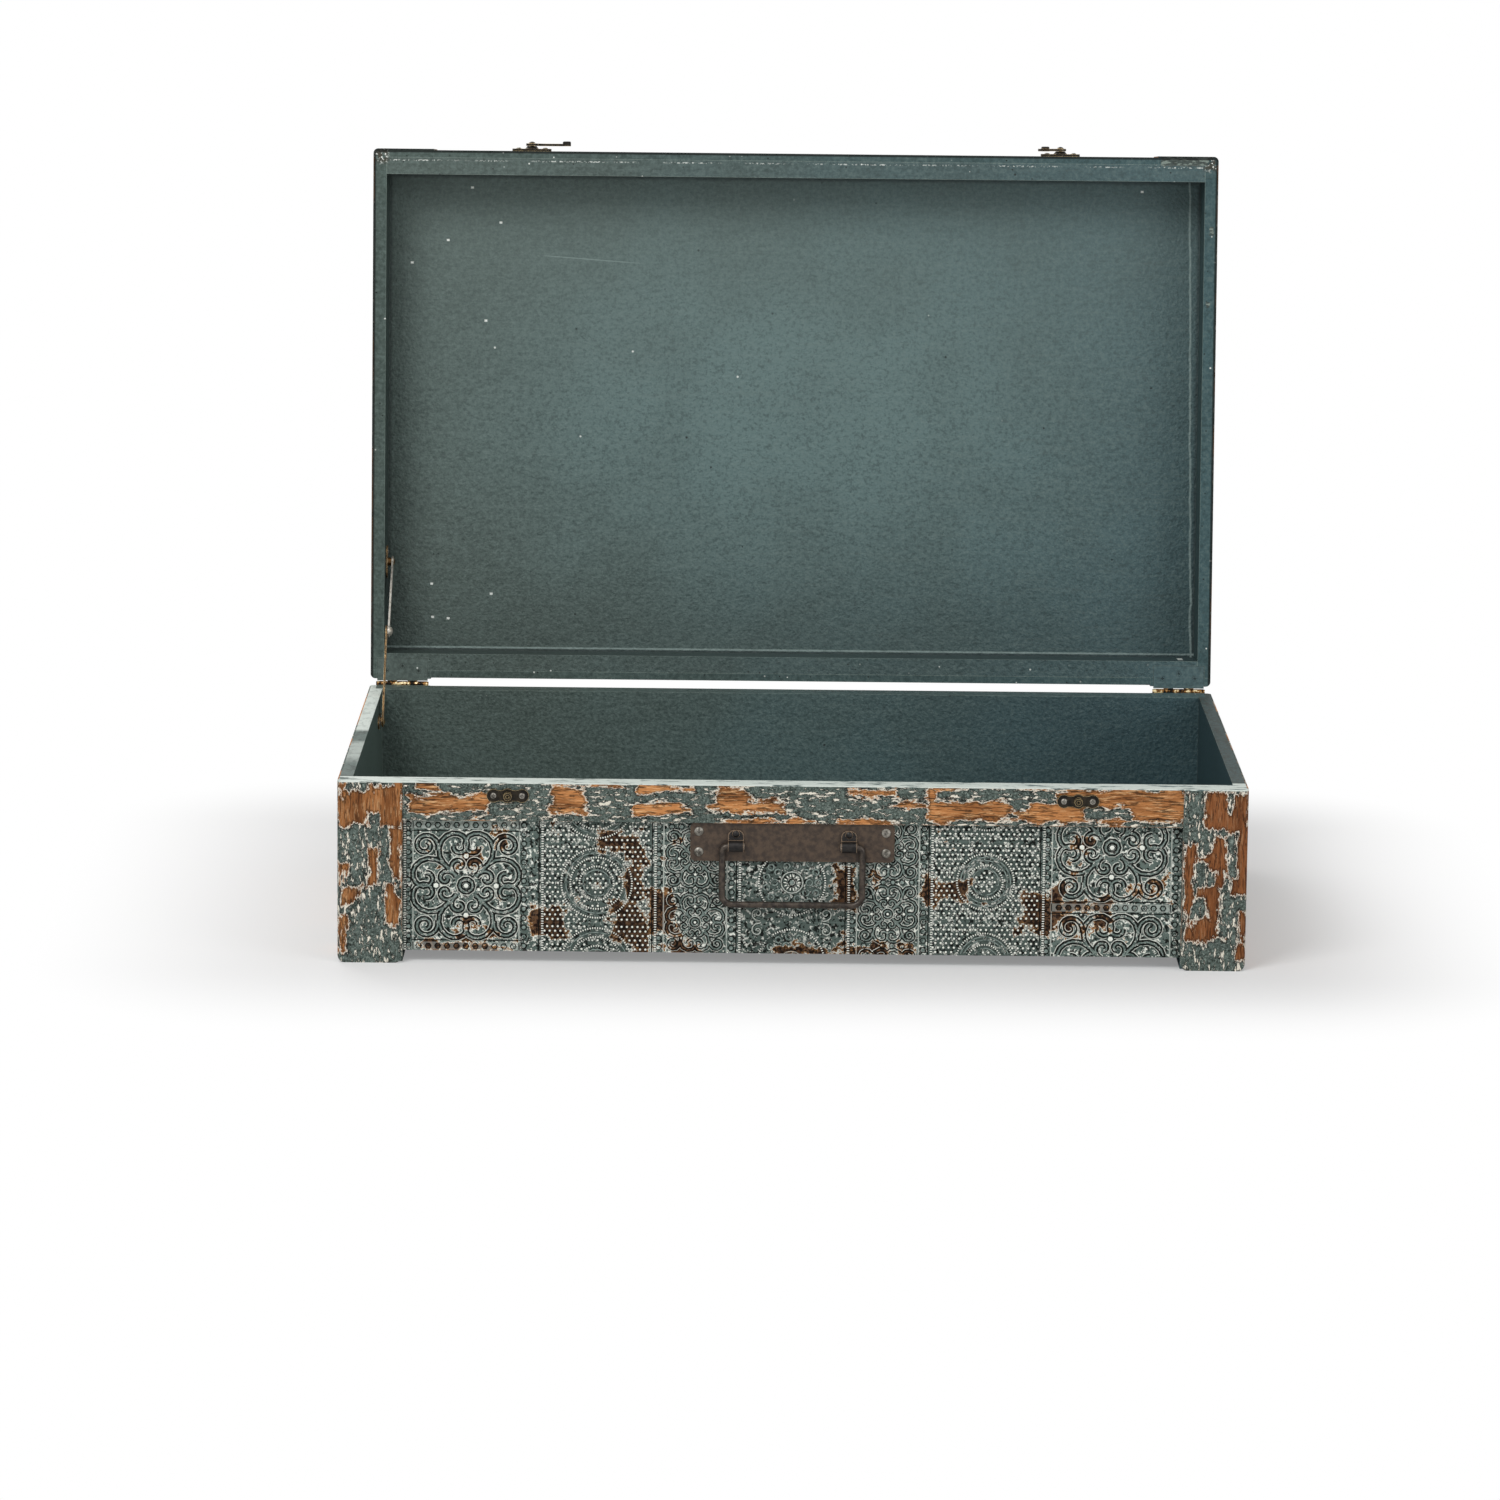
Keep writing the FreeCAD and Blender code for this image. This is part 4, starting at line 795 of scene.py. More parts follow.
def case_rim_wear_light_and_shade(f, base, rim):
    """Nearly white in front, a painted reflection, pale lengths of painted sunlight on the left rim,
    grey on the right one, and painted shade on the right inner wall.
    """
    x, y, z = f.spot
    on_right = f.step(x, board_inside - FACE, board_inside)
    front = 1 - f.step(y, front_inside, front_inside + FACE)
    front = front.most(on_right * (1 - f.step(y, *RIGHT_CORNER)))
    # breaks in the painted reflection on the front rim
    reflection_breaks = f.blots(5, 0.36, 0.48, 4, 0.65, x=0.25, shift=0.2)
    side = f.step(abs(x), board_inside - FACE, board_inside) * (1 - front)
    left = side * (1 - f.step(x, -0.01, 0.01))
    along = y + 14 * MM * (f.noise(8, 4, 0.65, x=0.5) - 0.5)
    front_sunlit = f.step(along, *FRONT_SUNLIT[0]) * (1 - f.step(along, *FRONT_SUNLIT[1]))
    # worn: where painted sunlight falls on the left rim
    worn = f.step(along, *BACK_SUNLIT).most(0.55 * front_sunlit)
    grime = f.blots(6, 0.48, 0.60, 5, 0.7, y=0.4, shift=0.5)
    grain = f.blots(2, 0.46, 0.56, 3, 0.6, y=0.6, shift=0.9)
    return f.coats(base,
                   # painted light: the left rim a little paler all along
                   (0.18 * rim * left, RIM_WEAR_AND_LIGHT),
                   (0.55 * rim * side * grime, RIM_GRIME),
                   (rim * side * (1 - left) * (0.25 + 0.35 * grain), RIM_BROWN),
                   # painted sunlight in pale lengths of the left rim
                   (0.92 * rim * left * worn * f.blend(grime, 1.0, 0.75), RIM_HIGHLIGHT),
                   # painted shade on the right inner wall
                   (0.5 * on_right * (1 - rim), PAINTED_SHADE),
                   (0.28 * (1 - rim) * f.step(x, 0.0, 0.30), PAINT_TEAL),
                   # painted reflection: the front rim nearly white
                   (0.95 * rim * front * reflection_breaks, RIM_HIGHLIGHT))


def edge_painted_shade(f, look):
    """The same look with painted shade along the edge of the lid's outer faces, just above the rim.
    """
    if not f.on_lid:
        return look
    near = 1 - f.step(f.spot[2], lid_rim + 2 * MM, lid_rim + 4 * MM)
    return f.mix(0.85 * near, look[0], SOOT_AND_SHADE), *look[1:]


print("stains on the lid's rim:", len(RIM_STAINS))

# %% [markdown]
# With those marks at hand, each kind of board is a short recipe: paint, marks, and for the strips a
# mask between the sanded faces and the whole paint of the rim.

# %% Finishes for boards and strips
def paint_wear_light_and_shade(f, strength=0.6):
    """Board paint with paler edges, partly worn paint and partly painted highlight, worn rims, and
    the marks of the lid, with painted light and painted shade.
    """
    rim = rim_mask(f)
    # the lid's middle made paler: a painted pool of light
    middle = lid_middle_glow(f) * (1 - rim) if f.on_lid else 0.0
    base, rough, height = board_paint(f, middle)
    blotch = f.noise(3, 4, 0.7)
    # paler edges: partly worn paint, partly a painted highlight
    edge = f.step(f.edges(1.0) + 0.35 * (blotch - 0.5), 0.06, 0.16)
    base = f.mix(strength * edge, base, RIM_WEAR_AND_LIGHT)
    if f.on_lid:
        return lid_rim_wear_and_shade(f, lid_marks_light_and_shade(f, base, rim), rim), rough, height
    return case_rim_wear_light_and_shade(f, base, rim), rough, height


def smooth_board(name, on_lid=False):
    """Rolled paint on every face."""
    f = Finish(name, on_lid)
    return f.painted(paint_wear_light_and_shade(f), 1.2, 0.4)


def sanded_side(name, on_lid=False):
    """Rolled paint inside, sanded paint on the outer face."""
    f = Finish(name, on_lid)
    out = f.step(abs(f.spot[0]), board_outside - 2 * FACE, board_outside - FACE)
    outside = edge_painted_shade(f, chipped_paint(f, "y", 0.50, seed=0.7))
    return f.painted(f.both(out, paint_wear_light_and_shade(f), outside), 0.5, 0.18)


def sanded_strip(name, axis, level, seed, on_lid=False, bare=(), kept=()):
    """Sanded strip with its grain along axis, and whole paint on its rim face."""
    f = Finish(name, on_lid)
    x, y, z = f.spot
    worn = 4.0 * f.step(f.edges(2.0), 0.03, 0.25)
    sanded = chipped_paint(f, axis, level, seed, worn, depth_in(x, z, bare), depth_in(x, z, kept))
    return f.painted(f.both(rim_mask(f), edge_painted_shade(f, sanded), paint_wear_light_and_shade(f, 0.3)), 0.5, 0.18)


print("finishes for boards: smooth_board, sanded_side and sanded_strip")

# %% [markdown]
# Noise alone decides where the paint is gone on strips that look alike all over.  The front rail and
# the two front posts have a few large bare places, and those are named: each is an oblong with its
# middle and half its size in millimetres, across and up.  The noise only frays their outlines.

# %% Boards and strips, dressed
RAIL_BARE = ((-264, 125, 32, 8), (-281, 139, 9, 3), (-173, 129, 14, 12), (-96, 138, 21, 3),
             (-99, 122, 24, 5), (-46, 131, 13, 11), (-38, 125, 31, 4), (61, 137, 20, 4),
             (88, 127, 15, 2), (202, 128, 99, 14), (-20, 114, 40, 2), (60, 114, 24, 2))
RAIL_KEPT = ((155, 136, 45, 3), (175, 128, 6, 6), (241, 123, 17, 4))
LEFT_POST_BARE = ((-325, 124, 24, 17), (-305, 85, 5, 21), (-308, 47, 6, 17), (-345, 69, 4, 9),
                  (-339, 53, 8, 8), (-346, 22, 4, 14), (-322, 77, 4, 16))
LEFT_POST_KEPT = ((-335, 140, 8, 3), (-321, 104, 4, 12))
RIGHT_POST_BARE = ((327, 126, 10, 16), (344, 100, 9, 42), (330, 92, 6, 14), (306, 62, 5, 38),
                   (321, 58, 12, 34), (347, 28, 4, 19))
RIGHT_POST_KEPT = ((337, 92, 3, 16), (314, 75, 4, 8), (323, 72, 4, 7), (314, 50, 4, 6),
                   (338, 39, 6, 14))

dress(smooth_board("case_board_paint"), "bottom_panel", "front_board", "back_board", *pair("runner"))
dress(smooth_board("lid_board_paint", True), "lid_top_board", "lid_front_board", "lid_back_board")
dress(sanded_side("case_side_paint"), *pair("side_board"))
dress(sanded_side("lid_side_paint", True), "lid_left_board", "lid_right_board")
dress(sanded_strip("front_rail_wear", "x", 0.62, 0.2, False, RAIL_BARE, RAIL_KEPT), "front_top_rail")
dress(sanded_strip("left_post_wear", "z", 0.60, 0.5, False, LEFT_POST_BARE, LEFT_POST_KEPT),
      "front_left_post")
dress(sanded_strip("right_post_wear", "z", 0.60, 0.1, False, RIGHT_POST_BARE, RIGHT_POST_KEPT),
      "front_right_post")
dress(sanded_strip("back_rail_wear", "x", 0.49, 0.2), "back_top_rail")
dress(sanded_strip("back_post_wear", "z", 0.49, 0.5), "back_left_post", "back_right_post")
dress(sanded_strip("lid_rail_wear", "x", 0.48, 0.8, True), "lid_front_rail", "lid_back_rail")
dress(sanded_strip("lid_post_wear", "z", 0.49, 0.4, True), "lid_front_left_post",
      "lid_front_right_post", "lid_back_left_post", "lid_back_right_post")
dress(sanded_strip("lid_band_wear", "y", 0.49, 0.3, True), "lid_left_band", "lid_right_band")
print("bare places:", len(RAIL_BARE + LEFT_POST_BARE + RIGHT_POST_BARE))

# %% [markdown]
# ## Stamps for the embossed sheet
#
# An embossed sheet repeats a few stamps in columns.  A repeated shape that follows a rule is what
# Geometry Nodes are for: each stamp is a small group, and the sheet copies it up its column.
#
# Every line of a stamp is a spiral or a circle.  A spiral whose radius grows by the same share at
# each step is the classic volute of wrought iron, and it needs only its centre, its two radii,
# where it starts and how far it turns.

# %% Trees for shapes
class Shape(Graph):
    """A geometry tree with named sizes."""

    def __init__(self, name, **sizes):
        super().__init__(bpy.data.node_groups.new(name, "GeometryNodeTree"))
        face = self.tree.interface
        for label, value in sizes.items():
            socket = face.new_socket(label, in_out="INPUT", socket_type="NodeSocketFloat")
            socket.default_value = value
        face.new_socket("Geometry", in_out="OUTPUT", socket_type="NodeSocketGeometry")
        self.sizes = self.node("NodeGroupInput")

    def size(self, label):
        return self.sizes.also(label)

    def here(self):
        return self.node("GeometryNodeInputPosition")

    def joined(self, *parts):
        return self.node("GeometryNodeJoinGeometry", list(parts))

    def moved(self, shape, x=0.0, y=0.0, z=0.0, turn=0.0, scale=(1, 1, 1)):
        return self.node("GeometryNodeTransform", Geometry=shape, Translation=(x, y, z),
                         Rotation=(0, 0, math.radians(turn)), Scale=scale)

    def mirrored(self, shape, x=-1, y=1):
        return self.joined(shape, self.moved(shape, scale=(x, y, 1)))

    def quarters(self, shape):
        """Four copies, each a quarter turn on."""
        return self.joined(*(self.moved(shape, turn=turn) for turn in (0, 90, 180, 270)))

    def row(self, count, x, y, step_x, step_y):
        """Points in a row from (x, y), in millimetres."""
        return self.node("GeometryNodeMeshLine", Count=count,
                         Start_Location=(x * MM, y * MM, 0.0),
                         Offset=(step_x * MM, step_y * MM, 0.0))

    def without(self, shape, selection, domain="FACE"):
        return self.node("GeometryNodeDeleteGeometry", Geometry=shape, Selection=selection,
                         domain=domain)

    def at_points(self, points, shape, outward=False):
        """A copy of a shape at each point, turned away from the middle where that is asked for."""
        turn = None
        if outward:
            x, y, z = self.xyz(self.here())
            turn = self.vector(0, 0, y.maths("ARCTAN2", y, x))
        return self.node("GeometryNodeInstanceOnPoints", Points=points, Instance=shape, Rotation=turn)

    def placed(self, shape, spot):
        return self.node("GeometryNodeSetPosition", Geometry=shape, Position=spot)

    def toned(self, shape, tone):
        """Keeps how high each point of the relief is, for the finish."""
        return self.node("GeometryNodeStoreNamedAttribute", Geometry=shape, Name="tone",
                         Value=tone, data_type="FLOAT", domain="POINT")

    def end(self, shape):
        self.node("NodeGroupOutput", shape)
        return self


print("words for shapes:", [word for word in vars(Shape) if word[0] != "_"])

# %% [markdown]
# A line of the relief is a curve with a small profile drawn along it.  The profile carries the
# tone, so the finish knows the foot of a ridge from its crown.  Dots are half balls, which take
# far fewer faces than a displaced grid fine enough to show them.

# %% Lines of the relief
SKIRT_LIFT = 0.04 * MM
RIDGE_HEIGHT = 0.85 * MM
BOSS_HEIGHT = 0.9 * MM


def volute(g, x, y, inner, outer, start, turns, fineness=14):
    """A spiral line about (x, y) from its inner to its outer radius, angles in degrees."""
    steps = round(fineness * abs(turns)) + 2
    line = g.node("GeometryNodeMeshLine", Count=steps)
    share = g.node("GeometryNodeInputIndex") / (steps - 1)
    radius = inner * (outer / inner) ** share
    angle = math.radians(start) + math.tau * turns * share
    spot = g.vector(x + radius * angle.cosine(), y + radius * angle.sine())
    return g.node("GeometryNodeMeshToCurve", g.placed(line, spot))


def ring(g, radius, points):
    return g.node("GeometryNodeCurvePrimitiveCircle", Resolution=points, Radius=radius)


def ridge(g, lines, width, height, across=6, outlined=False):
    """Lines pressed up into a crown above a flat dark skirt.

    The skirt is toned dark, a painted shade.  A plain ridge has pale shoulders, partly rubbed primer
    and partly painted highlight.  An outlined one is painted up to its dark grooves, a painted shade,
    and has a pale line outside them, partly rubbed primer and partly painted highlight.
    """
    line = g.node("GeometryNodeMeshLine", Count=across + 1)
    share = g.node("GeometryNodeInputIndex") / (across / 2) - 1
    out = abs(share)
    if outlined:
        rise = (1 - 4.0 * share * share).most(0.22 - 0.20 * out)
        crown = (2.2 * (0.42 - out)).most(0.0).least(0.5)
        tone = crown + 1.1 * (5.0 * out - 3.5).most(0.0)
    else:
        rise = (1 - 2.1 * share * share).most(0.0)
        tone = (0.45 + 1.1 * out).least((3.0 - 4.8 * out).most(0.0))
    spot = g.vector(share * width / 2, 0.0 - rise * height - SKIRT_LIFT)
    profile = g.toned(g.placed(line, spot), tone)
    profile = g.node("GeometryNodeMeshToCurve", profile)
    profile = g.node("GeometryNodeSetSplineCyclic", Geometry=profile, Cyclic=True)
    lines = g.node("GeometryNodeSetCurveNormal", Curve=lines, mode="Z_UP")
    return g.node("GeometryNodeCurveToMesh", Curve=lines, Profile_Curve=profile, Fill_Caps=True)


def boss(g, radius, height, long=1.0, crown=1.0):
    """The upper half of a low ball of six sides, dark round its foot as painted shade, with its top
    toned crown.
    """
    ball = g.node("GeometryNodeMeshUVSphere", Segments=6, Rings=6, Radius=1.0)
    x, y, z = g.xyz(g.here())
    ball = g.toned(ball, crown * (0.2 * z.above(0.3) + 0.8 * z.above(0.7)))
    ball = g.without(ball, (0.0 - z).above(0.1))
    return g.moved(ball, z=0.2 * height, scale=(radius * long, radius, 0.8 * height))


def strip_line(g, x, y, wide, long, tone):
    """A thin flat bar, for the frame lines round a tile."""
    bar = g.node("GeometryNodeMeshGrid", Size_X=wide * MM, Size_Y=long * MM,
                 Vertices_X=max(2, int(wide / 8)), Vertices_Y=max(2, int(long / 2)))
    return g.moved(g.toned(bar, tone), x * MM, y * MM, 0.5 * SKIRT_LIFT)


print("ridges are", RIDGE_HEIGHT / MM, "mm high and bosses", BOSS_HEIGHT / MM)

# %% [markdown]
# The first stamp is the scroll tile.  Two mirrored volutes make a heart, and four hearts stand
# round a boss.  Only half a heart is drawn, then mirrored and turned.  The corner scrolls are drawn
# once and mirrored both ways.  All its measures are shares of half the tile, so the same stamp
# also makes the small tiles of the lattice columns.

# %% Scroll tile
def scroll_tile(name, half, fineness, band, across, outlined):
    """Four hearts round a boss, with corner scrolls, centred on the origin."""
    g = Shape(name, Half=half * MM, Band=band * MM)
    petals = g.joined(volute(g, -0.152, 0.752, 0.084, 0.481, 180, 1.22, fineness),
                      volute(g, -0.130, 0.388, 0.040, 0.205, -90, 0.97, fineness))
    corner = volute(g, -0.770, 0.760, 0.080, 0.255, 70, -1.25, fineness)
    corners = g.mirrored(g.mirrored(corner), 1, -1)
    lines = g.joined(g.quarters(g.mirrored(petals)), corners, ring(g, 0.125, 10))
    half_size = g.size("Half")
    full = g.moved(lines, scale=g.vector(half_size, half_size, 1.0))
    relief = ridge(g, full, g.size("Band"), RIDGE_HEIGHT, across, outlined)
    pip = g.moved(boss(g, 0.075 * half * MM, BOSS_HEIGHT), y=0.565 * half * MM)
    return g.end(g.joined(relief, g.quarters(pip), boss(g, 0.07 * half * MM, BOSS_HEIGHT)))


large_scroll = scroll_tile("large scroll tile", 41, 14, 5.8, 8, True)
small_scroll = scroll_tile("small scroll tile", 22, 9, 4.4, 8, True)
print("the scroll tile's tree has", len(large_scroll.tree.nodes), "nodes")

# %% [markdown]
# The dotted tile is a field of small bosses with rings of short bars round a centre.  A boss or a
# bar is copied to the points of a grid or a circle, so the numbers of them follow from the size
# of the tile and their spacing.

# %% Dotted tile
TILE_GROUND = 0.34          # tone of the sheet between the bosses


def rope_ring(g, radius, spacing=1.9, stretch=1.7):
    """Short bars side by side round a circle, stretched outwards."""
    count = round(math.tau * radius / spacing)
    bar = boss(g, 0.75 * MM, 0.8 * MM, stretch)
    return g.at_points(ring(g, radius * MM, count), bar, outward=True)


def boss_field(g, width, length, pitch, rings, size=1.4):
    """Bosses in staggered rows, left out where the rings lie."""
    row = pitch * 0.866
    rows = int(length / row)
    grid = g.node("GeometryNodeMeshGrid", Size_X=(int(width / pitch) - 1) * pitch * MM,
                  Size_Y=(rows - 1) * row * MM, Vertices_X=int(width / pitch), Vertices_Y=rows)
    x, y, z = g.xyz(g.here())
    number = round(y / (row * MM) + rows / 2)
    spot = g.vector(x + (number % 2 - 0.5) * pitch / 2 * MM, y, 0.0)
    grid = g.placed(grid, spot)
    x, y, z = g.xyz(g.here())
    away = (x * x + y * y) ** 0.5
    covered = 0.0
    for radius in rings:
        covered = (1 - abs(away - radius * MM).above(1.9 * MM)) + covered
    return g.at_points(g.without(grid, covered, "POINT"), boss(g, size * MM, 1.0 * MM))


def dotted_tile(name, width, length, ropes, lines):
    """Rope rings and thin lines round a centre, on a field of bosses."""
    g = Shape(name)
    circles = g.joined(*(ring(g, radius * MM, round(1.6 * radius)) for radius in lines))
    parts = [rope_ring(g, radius) for radius in ropes]
    parts.append(ridge(g, circles, 1.5 * MM, 0.5 * MM, 4))
    parts.append(strip_line(g, 0, 0, width - 1, length, TILE_GROUND))
    return g.end(g.joined(boss_field(g, width, length, 4.1, ropes + lines), *parts))


wide_dotted = dotted_tile("wide dotted tile", 84, 62, (13.2, 20.2, 27.2), (10.4, 23.7))
small_dotted = dotted_tile("small dotted tile", 84, 62, (13.2, 22.0), (10.4, 16.8, 19.3))
print("the dotted tile's tree has", len(wide_dotted.tree.nodes), "nodes")

# %% [markdown]
# The flower tile is made of the same parts: long bosses as the rays of a daisy, rings of small
# rings round them, a rope ring outside, and a scroll in each corner.

# %% Flower tile
def rosettes(g, radius, count, size):
    """Small rings round a circle."""
    one = ridge(g, ring(g, size * MM, 8), 1.9 * MM, 0.7 * MM, across=4)
    return g.at_points(ring(g, radius * MM, count), one)


def flower_tile(name):
    """A daisy in two rings of rosettes and a rope ring, with scrolls in its corners."""
    g = Shape(name)
    ray = boss(g, 0.75 * MM, BOSS_HEIGHT, long=2.6)
    rays = g.at_points(ring(g, 5.4 * MM, 14), ray, outward=True)
    corner = volute(g, 0.0262, 0.0245, 0.0012, 0.0062, 0, 1.3, 9)
    corners = g.mirrored(g.mirrored(corner), 1, -1)
    relief = ridge(g, g.joined(ring(g, 8.4 * MM, 16), corners), 2.0 * MM, RIDGE_HEIGHT)
    return g.end(g.joined(relief, rays, rosettes(g, 13.4, 10, 2.5), rosettes(g, 20.0, 15, 2.4),
                          rope_ring(g, 25.6), boss(g, 3.4 * MM, BOSS_HEIGHT, crown=0.5),
                          strip_line(g, 0, 0, 82, 62, TILE_GROUND)))


flower = flower_tile("flower tile")
print("stamps:", [tree.name for tree in bpy.data.node_groups])

# %% [markdown]
# ## Sheets
#
# A sheet is laid out in columns of stamps.  Between them run rows of short bars, and round the
# scroll tiles rows of buttons and thin frame lines.  The case's front shows all eight columns and
# the lid shows them too, so one list of columns serves both.

# %% Columns of the sheet
COLUMNS = (                 # stamp, width, repeat and the height of one tile's centre, millimetres
    (large_scroll, 98, 95, 60),
    (None, 8, 0, 0),
    (wide_dotted, 87, 62.5, 63),
    (small_scroll, 65, 50, 83),
    (flower, 84, 62.5, 65),
    (small_scroll, 64, 50, 91),
    (small_dotted, 86, 62.5, 67),
    (large_scroll, 108, 95, 95),
)
LADDER_PITCH = 1.9


def column_of(g, stamp, middle, repeat, centre, low, high):
    """Copies of a stamp up a column, from below its lower end to above its upper end."""
    first = centre - math.ceil((centre - low) / repeat + 0.5) * repeat
    count = math.ceil((high - first) / repeat + 0.5) + 1
    points = g.row(count, middle, first, 0.0, repeat)
    return g.at_points(points, g.node("GeometryNodeGroup", node_tree=stamp.tree))


def ladder(g, x, low, high):
    """A row of short bars beside a thin dark line, along one edge of a column."""
    points = g.row(int((high - low) / LADDER_PITCH), x, low + 1, 0.0, LADDER_PITCH)
    bars = g.at_points(points, boss(g, 0.7 * MM, 0.7 * MM, long=2.6))
    return g.joined(bars, strip_line(g, x - 2.6, (low + high) / 2, 1.0, high - low, 0.0))


def ring_row(g, x, y, across, up, pitch=7.3):
    """A row of round buttons, along x or y."""
    count = int(max(across, up) / pitch)
    step_x, step_y = (pitch, 0.0) if across else (0.0, pitch)
    half = (count - 1) / 2
    points = g.row(count, x - step_x * half, y - step_y * half, step_x, step_y)
    return g.at_points(points, boss(g, 2.7 * MM, 0.8 * MM, crown=0.5))


print("the columns are", sum(column[1] for column in COLUMNS), "mm wide together")

# %% [markdown]
# Each scroll tile stands in a frame.  Its buttons and lines follow from the column's width and the
# seams between the tiles, so a column of any length gets them.

# %% Frames round the scroll tiles
FRAME_INSET = 4.5           # of the buttons from the column's edge, millimetres


def tile_rows(centre, repeat, low, high):
    """Heights of the seams between the tiles of a column."""
    row = centre - repeat / 2 - math.floor((centre - repeat / 2 - low) / repeat) * repeat
    while row < high:
        yield row
        row += repeat


def frames_round(g, middle, width, repeat, centre, low, high):
    """Rings between the tiles and down both sides of their column, and thin pale frame lines."""
    side = width / 2 - FRAME_INSET
    middle_y = (low + high) / 2
    parts = []
    for s in (-1, 1):
        parts.append(ring_row(g, middle + s * side, middle_y, 0, high - low))
        parts.append(strip_line(g, middle + s * (side - 3.6), middle_y, 0.8, high - low, 0.66))
    for row in tile_rows(centre, repeat, low, high):
        parts.append(ring_row(g, middle, row, width - 14, 0))
        if repeat > 60:
            parts.append(strip_line(g, middle, row, width - 14, 6.2, 0.64))
            parts += [strip_line(g, middle, row + s * 4.6, width - 14, 0.9, 0.0) for s in (-1, 1)]
    return g.joined(*parts)


print("seams of the first column:", list(tile_rows(COLUMNS[0][3], COLUMNS[0][2], 0, 100)))

# %% [markdown]
# One tree puts the columns of a sheet side by side, trims what runs over its edges and adds the
# thin plate under them.  Its lower and upper end are named inputs.  The relief could also be bumps
# in the finish, but then its outline would be flat where the sheet turns over the lid's edge.

# %% A whole sheet
PLATE_T = 0.62
TRIM = 0.4                  # millimetres inside the edge where faces are cut off


def sheet(name, first, last, low, high, finish, shift=0.0):
    """A flat mesh of columns first to last, from low to high in millimetres, standing on z = 0."""
    g = Shape(name, Low=low * MM, High=high * MM)
    edge = -sum(column[1] for column in COLUMNS) / 2 + sum(column[1] for column in COLUMNS[:first])
    left = edge
    parts = []
    for stamp, width, repeat, centre in COLUMNS[first:last]:
        middle = edge + width / 2
        if stamp:
            parts.append(column_of(g, stamp, middle, repeat, centre + shift, low, high))
            parts.append(ladder(g, edge + 1.8, low, high))
        if stamp in (large_scroll, small_scroll):
            parts.append(frames_round(g, middle, width, repeat, centre + shift, low, high))
        edge += width
    relief = g.node("GeometryNodeRealizeInstances", g.joined(*parts))
    x, y, z = g.xyz(g.here())
    outside = (x.above((edge - TRIM) * MM) + (left * MM + TRIM * MM - x).above(0.0)
               + (y - g.size("High")).above(0.0) + (g.size("Low") - y).above(0.0))
    relief = g.without(relief, outside)
    x, y, z = g.xyz(g.here())
    inside_x = x.most(left * MM).least(edge * MM)
    inside_y = y.most(g.size("Low")).least(g.size("High"))
    trimmed = g.vector(inside_x, inside_y, z + PLATE_T * MM)
    relief = g.node("GeometryNodeSetShadeSmooth", Geometry=g.placed(relief, trimmed))
    size = ((edge - left) * MM, (high - low) * MM, PLATE_T * MM)
    plate = g.node("GeometryNodeMeshCube", Size=size, Vertices_X=3,
                   Vertices_Y=max(2, int((high - low) / 2)), Vertices_Z=2)
    middle = ((left + edge) / 2 * MM, (low + high) / 2 * MM, PLATE_T / 2 * MM)
    plate = g.moved(g.toned(plate, 0.4), *middle)
    both = g.node("GeometryNodeRealizeInstances", g.joined(relief, plate))
    g.end(g.node("GeometryNodeSetMaterial", Geometry=both, Material=finish))
    holder = bpy.data.objects.new(name, bpy.data.meshes.new(name))
    bpy.context.scene.collection.objects.link(holder)
    stamping = holder.modifiers.new("stamping", "NODES")
    stamping.node_group = g.tree
    for item in g.tree.interface.items_tree:
        if item.in_out == "INPUT":
            stamping[item.identifier] = {"Low": low * MM, "High": high * MM}[item.name]
    ready = holder.evaluated_get(bpy.context.evaluated_depsgraph_get())
    mesh = bpy.data.meshes.new_from_object(ready)
    holder.modifiers.clear()
    holder.data = mesh
    mesh.calc_loop_triangles()
    measures = [round(length, 4) for length in size]
    print(name, "is", measures, "m flat and has", len(mesh.loop_triangles), "triangles")
    return holder


print("a sheet can be up to", sum(column[1] for column in COLUMNS), "mm wide")

# %% [markdown]
# The front sheet stands upright behind the handle, so its flat mesh is turned up and set against
# the front board.

# %% Front sheet
def spots(mesh):
    """The vertices of a mesh as an array."""
    flat = np.empty(len(mesh.vertices) * 3, np.float32)
    mesh.vertices.foreach_get("co", flat)
    return flat.reshape(-1, 3)


def set_spots(mesh, places):
    mesh.vertices.foreach_set("co", places.astype(np.float32).ravel())
    mesh.update()


def embossed_finish(name, on_lid=False, rust_patches=()):
    """The rubbed and rusted sheet."""
    f = Finish(name, on_lid)
    x, y, z = f.spot
    blots = f.noise(34, 4, 0.6, 0.4)
    lobes = f.noise(12, 2, 0.5)
    ragged = f.noise(4.5, 4, 0.7, 0.3)
    eaten = ISLAND_RISE * (blots - 0.66)
    if rust_patches:
        eaten = eaten.most(depth_in(x, z, rust_patches) + 2)
    eaten = eaten + 26 * (lobes - 0.5) + 22 * (ragged - 0.5)
    return f.painted(embossed(f, eaten), 0.35, 0.12)


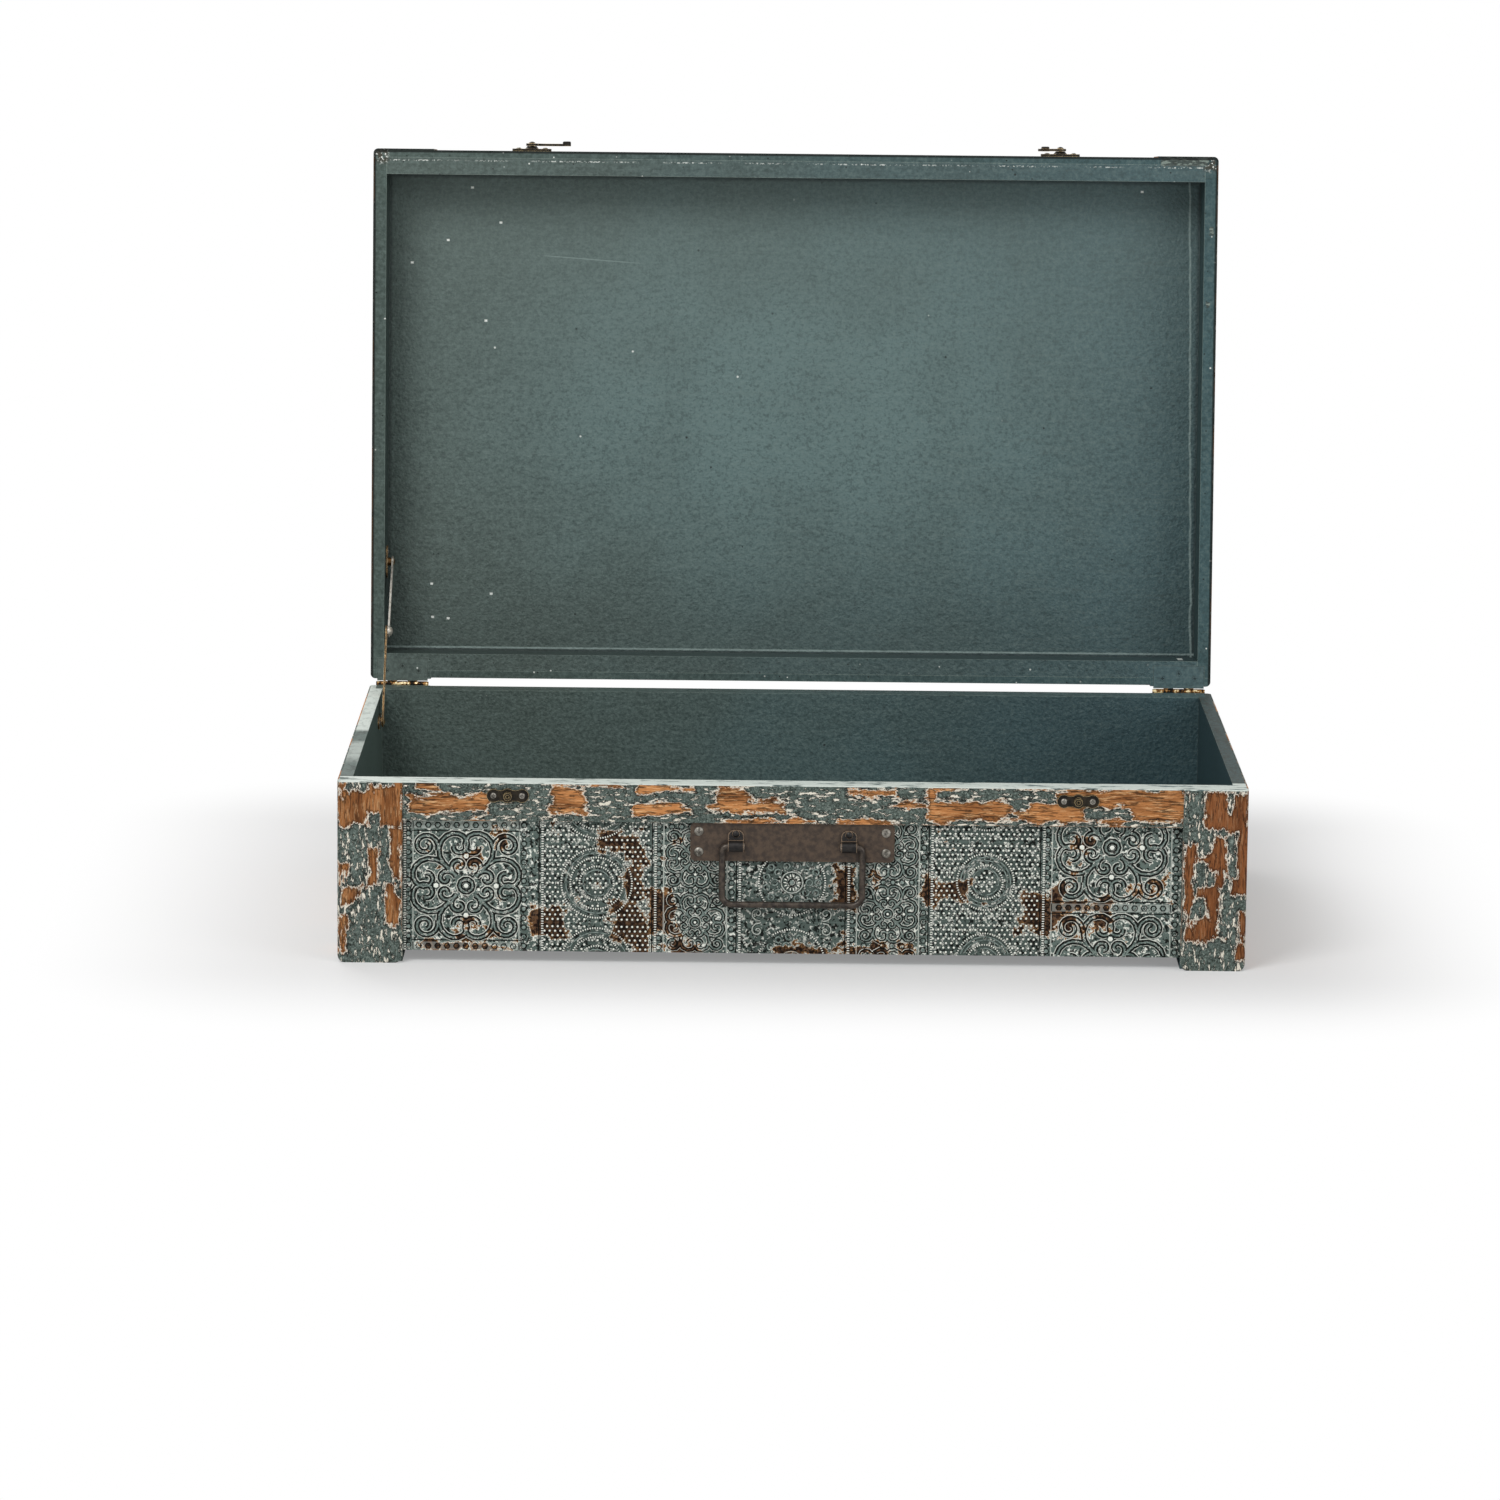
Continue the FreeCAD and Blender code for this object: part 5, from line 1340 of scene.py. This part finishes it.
RUST_PATCHES = ((-187, 31, 12, 10), (-125, 32, 13, 16), (-100, 39, 10, 16), (-121, 68, 5, 19),
                (-134, 96, 13, 5), (106, 58, 3, 9), (123, 59, 10, 5), (190, 43, 12, 12),
                (203, 48, 5, 18), (226, 48, 17, 3), (214, 33, 6, 8), (240, 37, 5, 6),
                (41, 63, 7, 14), (36, 12, 54, 2), (-94, 13, 22, 2), (225, 98, 7, 4),
                (282, 64, 4, 6), (-251, 12, 34, 2), (-248, 80, 6, 4), (-249, 33, 4, 3),
                (-225, 96, 2, 3), (262, 60, 5, 3))
board_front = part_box("front_board")[0].y
sheet_low, sheet_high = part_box("front_embossed_sheet")
front_sheet = sheet("front_sheet", 0, len(COLUMNS), sheet_low.z / MM, sheet_high.z / MM,
                    embossed_finish("embossed_front", False, RUST_PATCHES))
flat = spots(front_sheet.data)
set_spots(front_sheet.data, np.stack((flat[:, 0], board_front - flat[:, 2], flat[:, 1]), axis=1))
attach(front_sheet, "case")
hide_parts("front_embossed_sheet")

# %% [markdown]
# The lid's sheet runs over the top and turns down at the front and the back.  A flat sheet wraps
# round a board edge without stretching much, so the mesh is made flat as well and then wrapped:
# each point keeps its way along the sheet, and its height above the plate becomes a larger radius
# in the bend.

# %% Lid sheets
BEND_R = 7.0
SHEET_T = 1.6
over_low, over_high = closed_box("lid_embossed_sheet")
inner_r = (BEND_R - SHEET_T) * MM
middle_r = (BEND_R - SHEET_T / 2) * MM
flat_half = (over_high.y - over_low.y) / 2 - BEND_R * MM
bend_z = over_high.z - BEND_R * MM
lid_middle = (over_high.y + over_low.y) / 2
arc_length = middle_r * math.pi / 2
half_length = flat_half + arc_length + bend_z - over_low.z


def wrap_over_lid(mesh):
    """Bends a flat sheet over the closed lid and turns it up with the open lid."""
    x, along, up = spots(mesh).T.astype(float)
    out = np.abs(along)
    turn = np.clip((out - flat_half) / middle_r, 0, math.pi / 2)
    down = np.maximum(out - flat_half - arc_length, 0)
    reach = np.minimum(out, flat_half) + np.sin(turn) * (inner_r + up)
    height = bend_z + np.cos(turn) * (inner_r + up) - down
    closed = np.stack((x, lid_middle + np.sign(along) * reach, height, np.ones_like(x)), axis=1)
    set_spots(mesh, (closed @ np.array(open_turn).T)[:, :3])


lid_finish = embossed_finish("embossed_lid", True)
for side, first, last in (("left", 0, 3), ("middle", 3, 6), ("right", 6, 8)):
    strip = sheet("lid_sheet_" + side, first, last, -half_length / MM, half_length / MM, lid_finish)
    wrap_over_lid(strip.data)
    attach(strip, "lid")
    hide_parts("lid_embossed_sheet")

# %% [markdown]
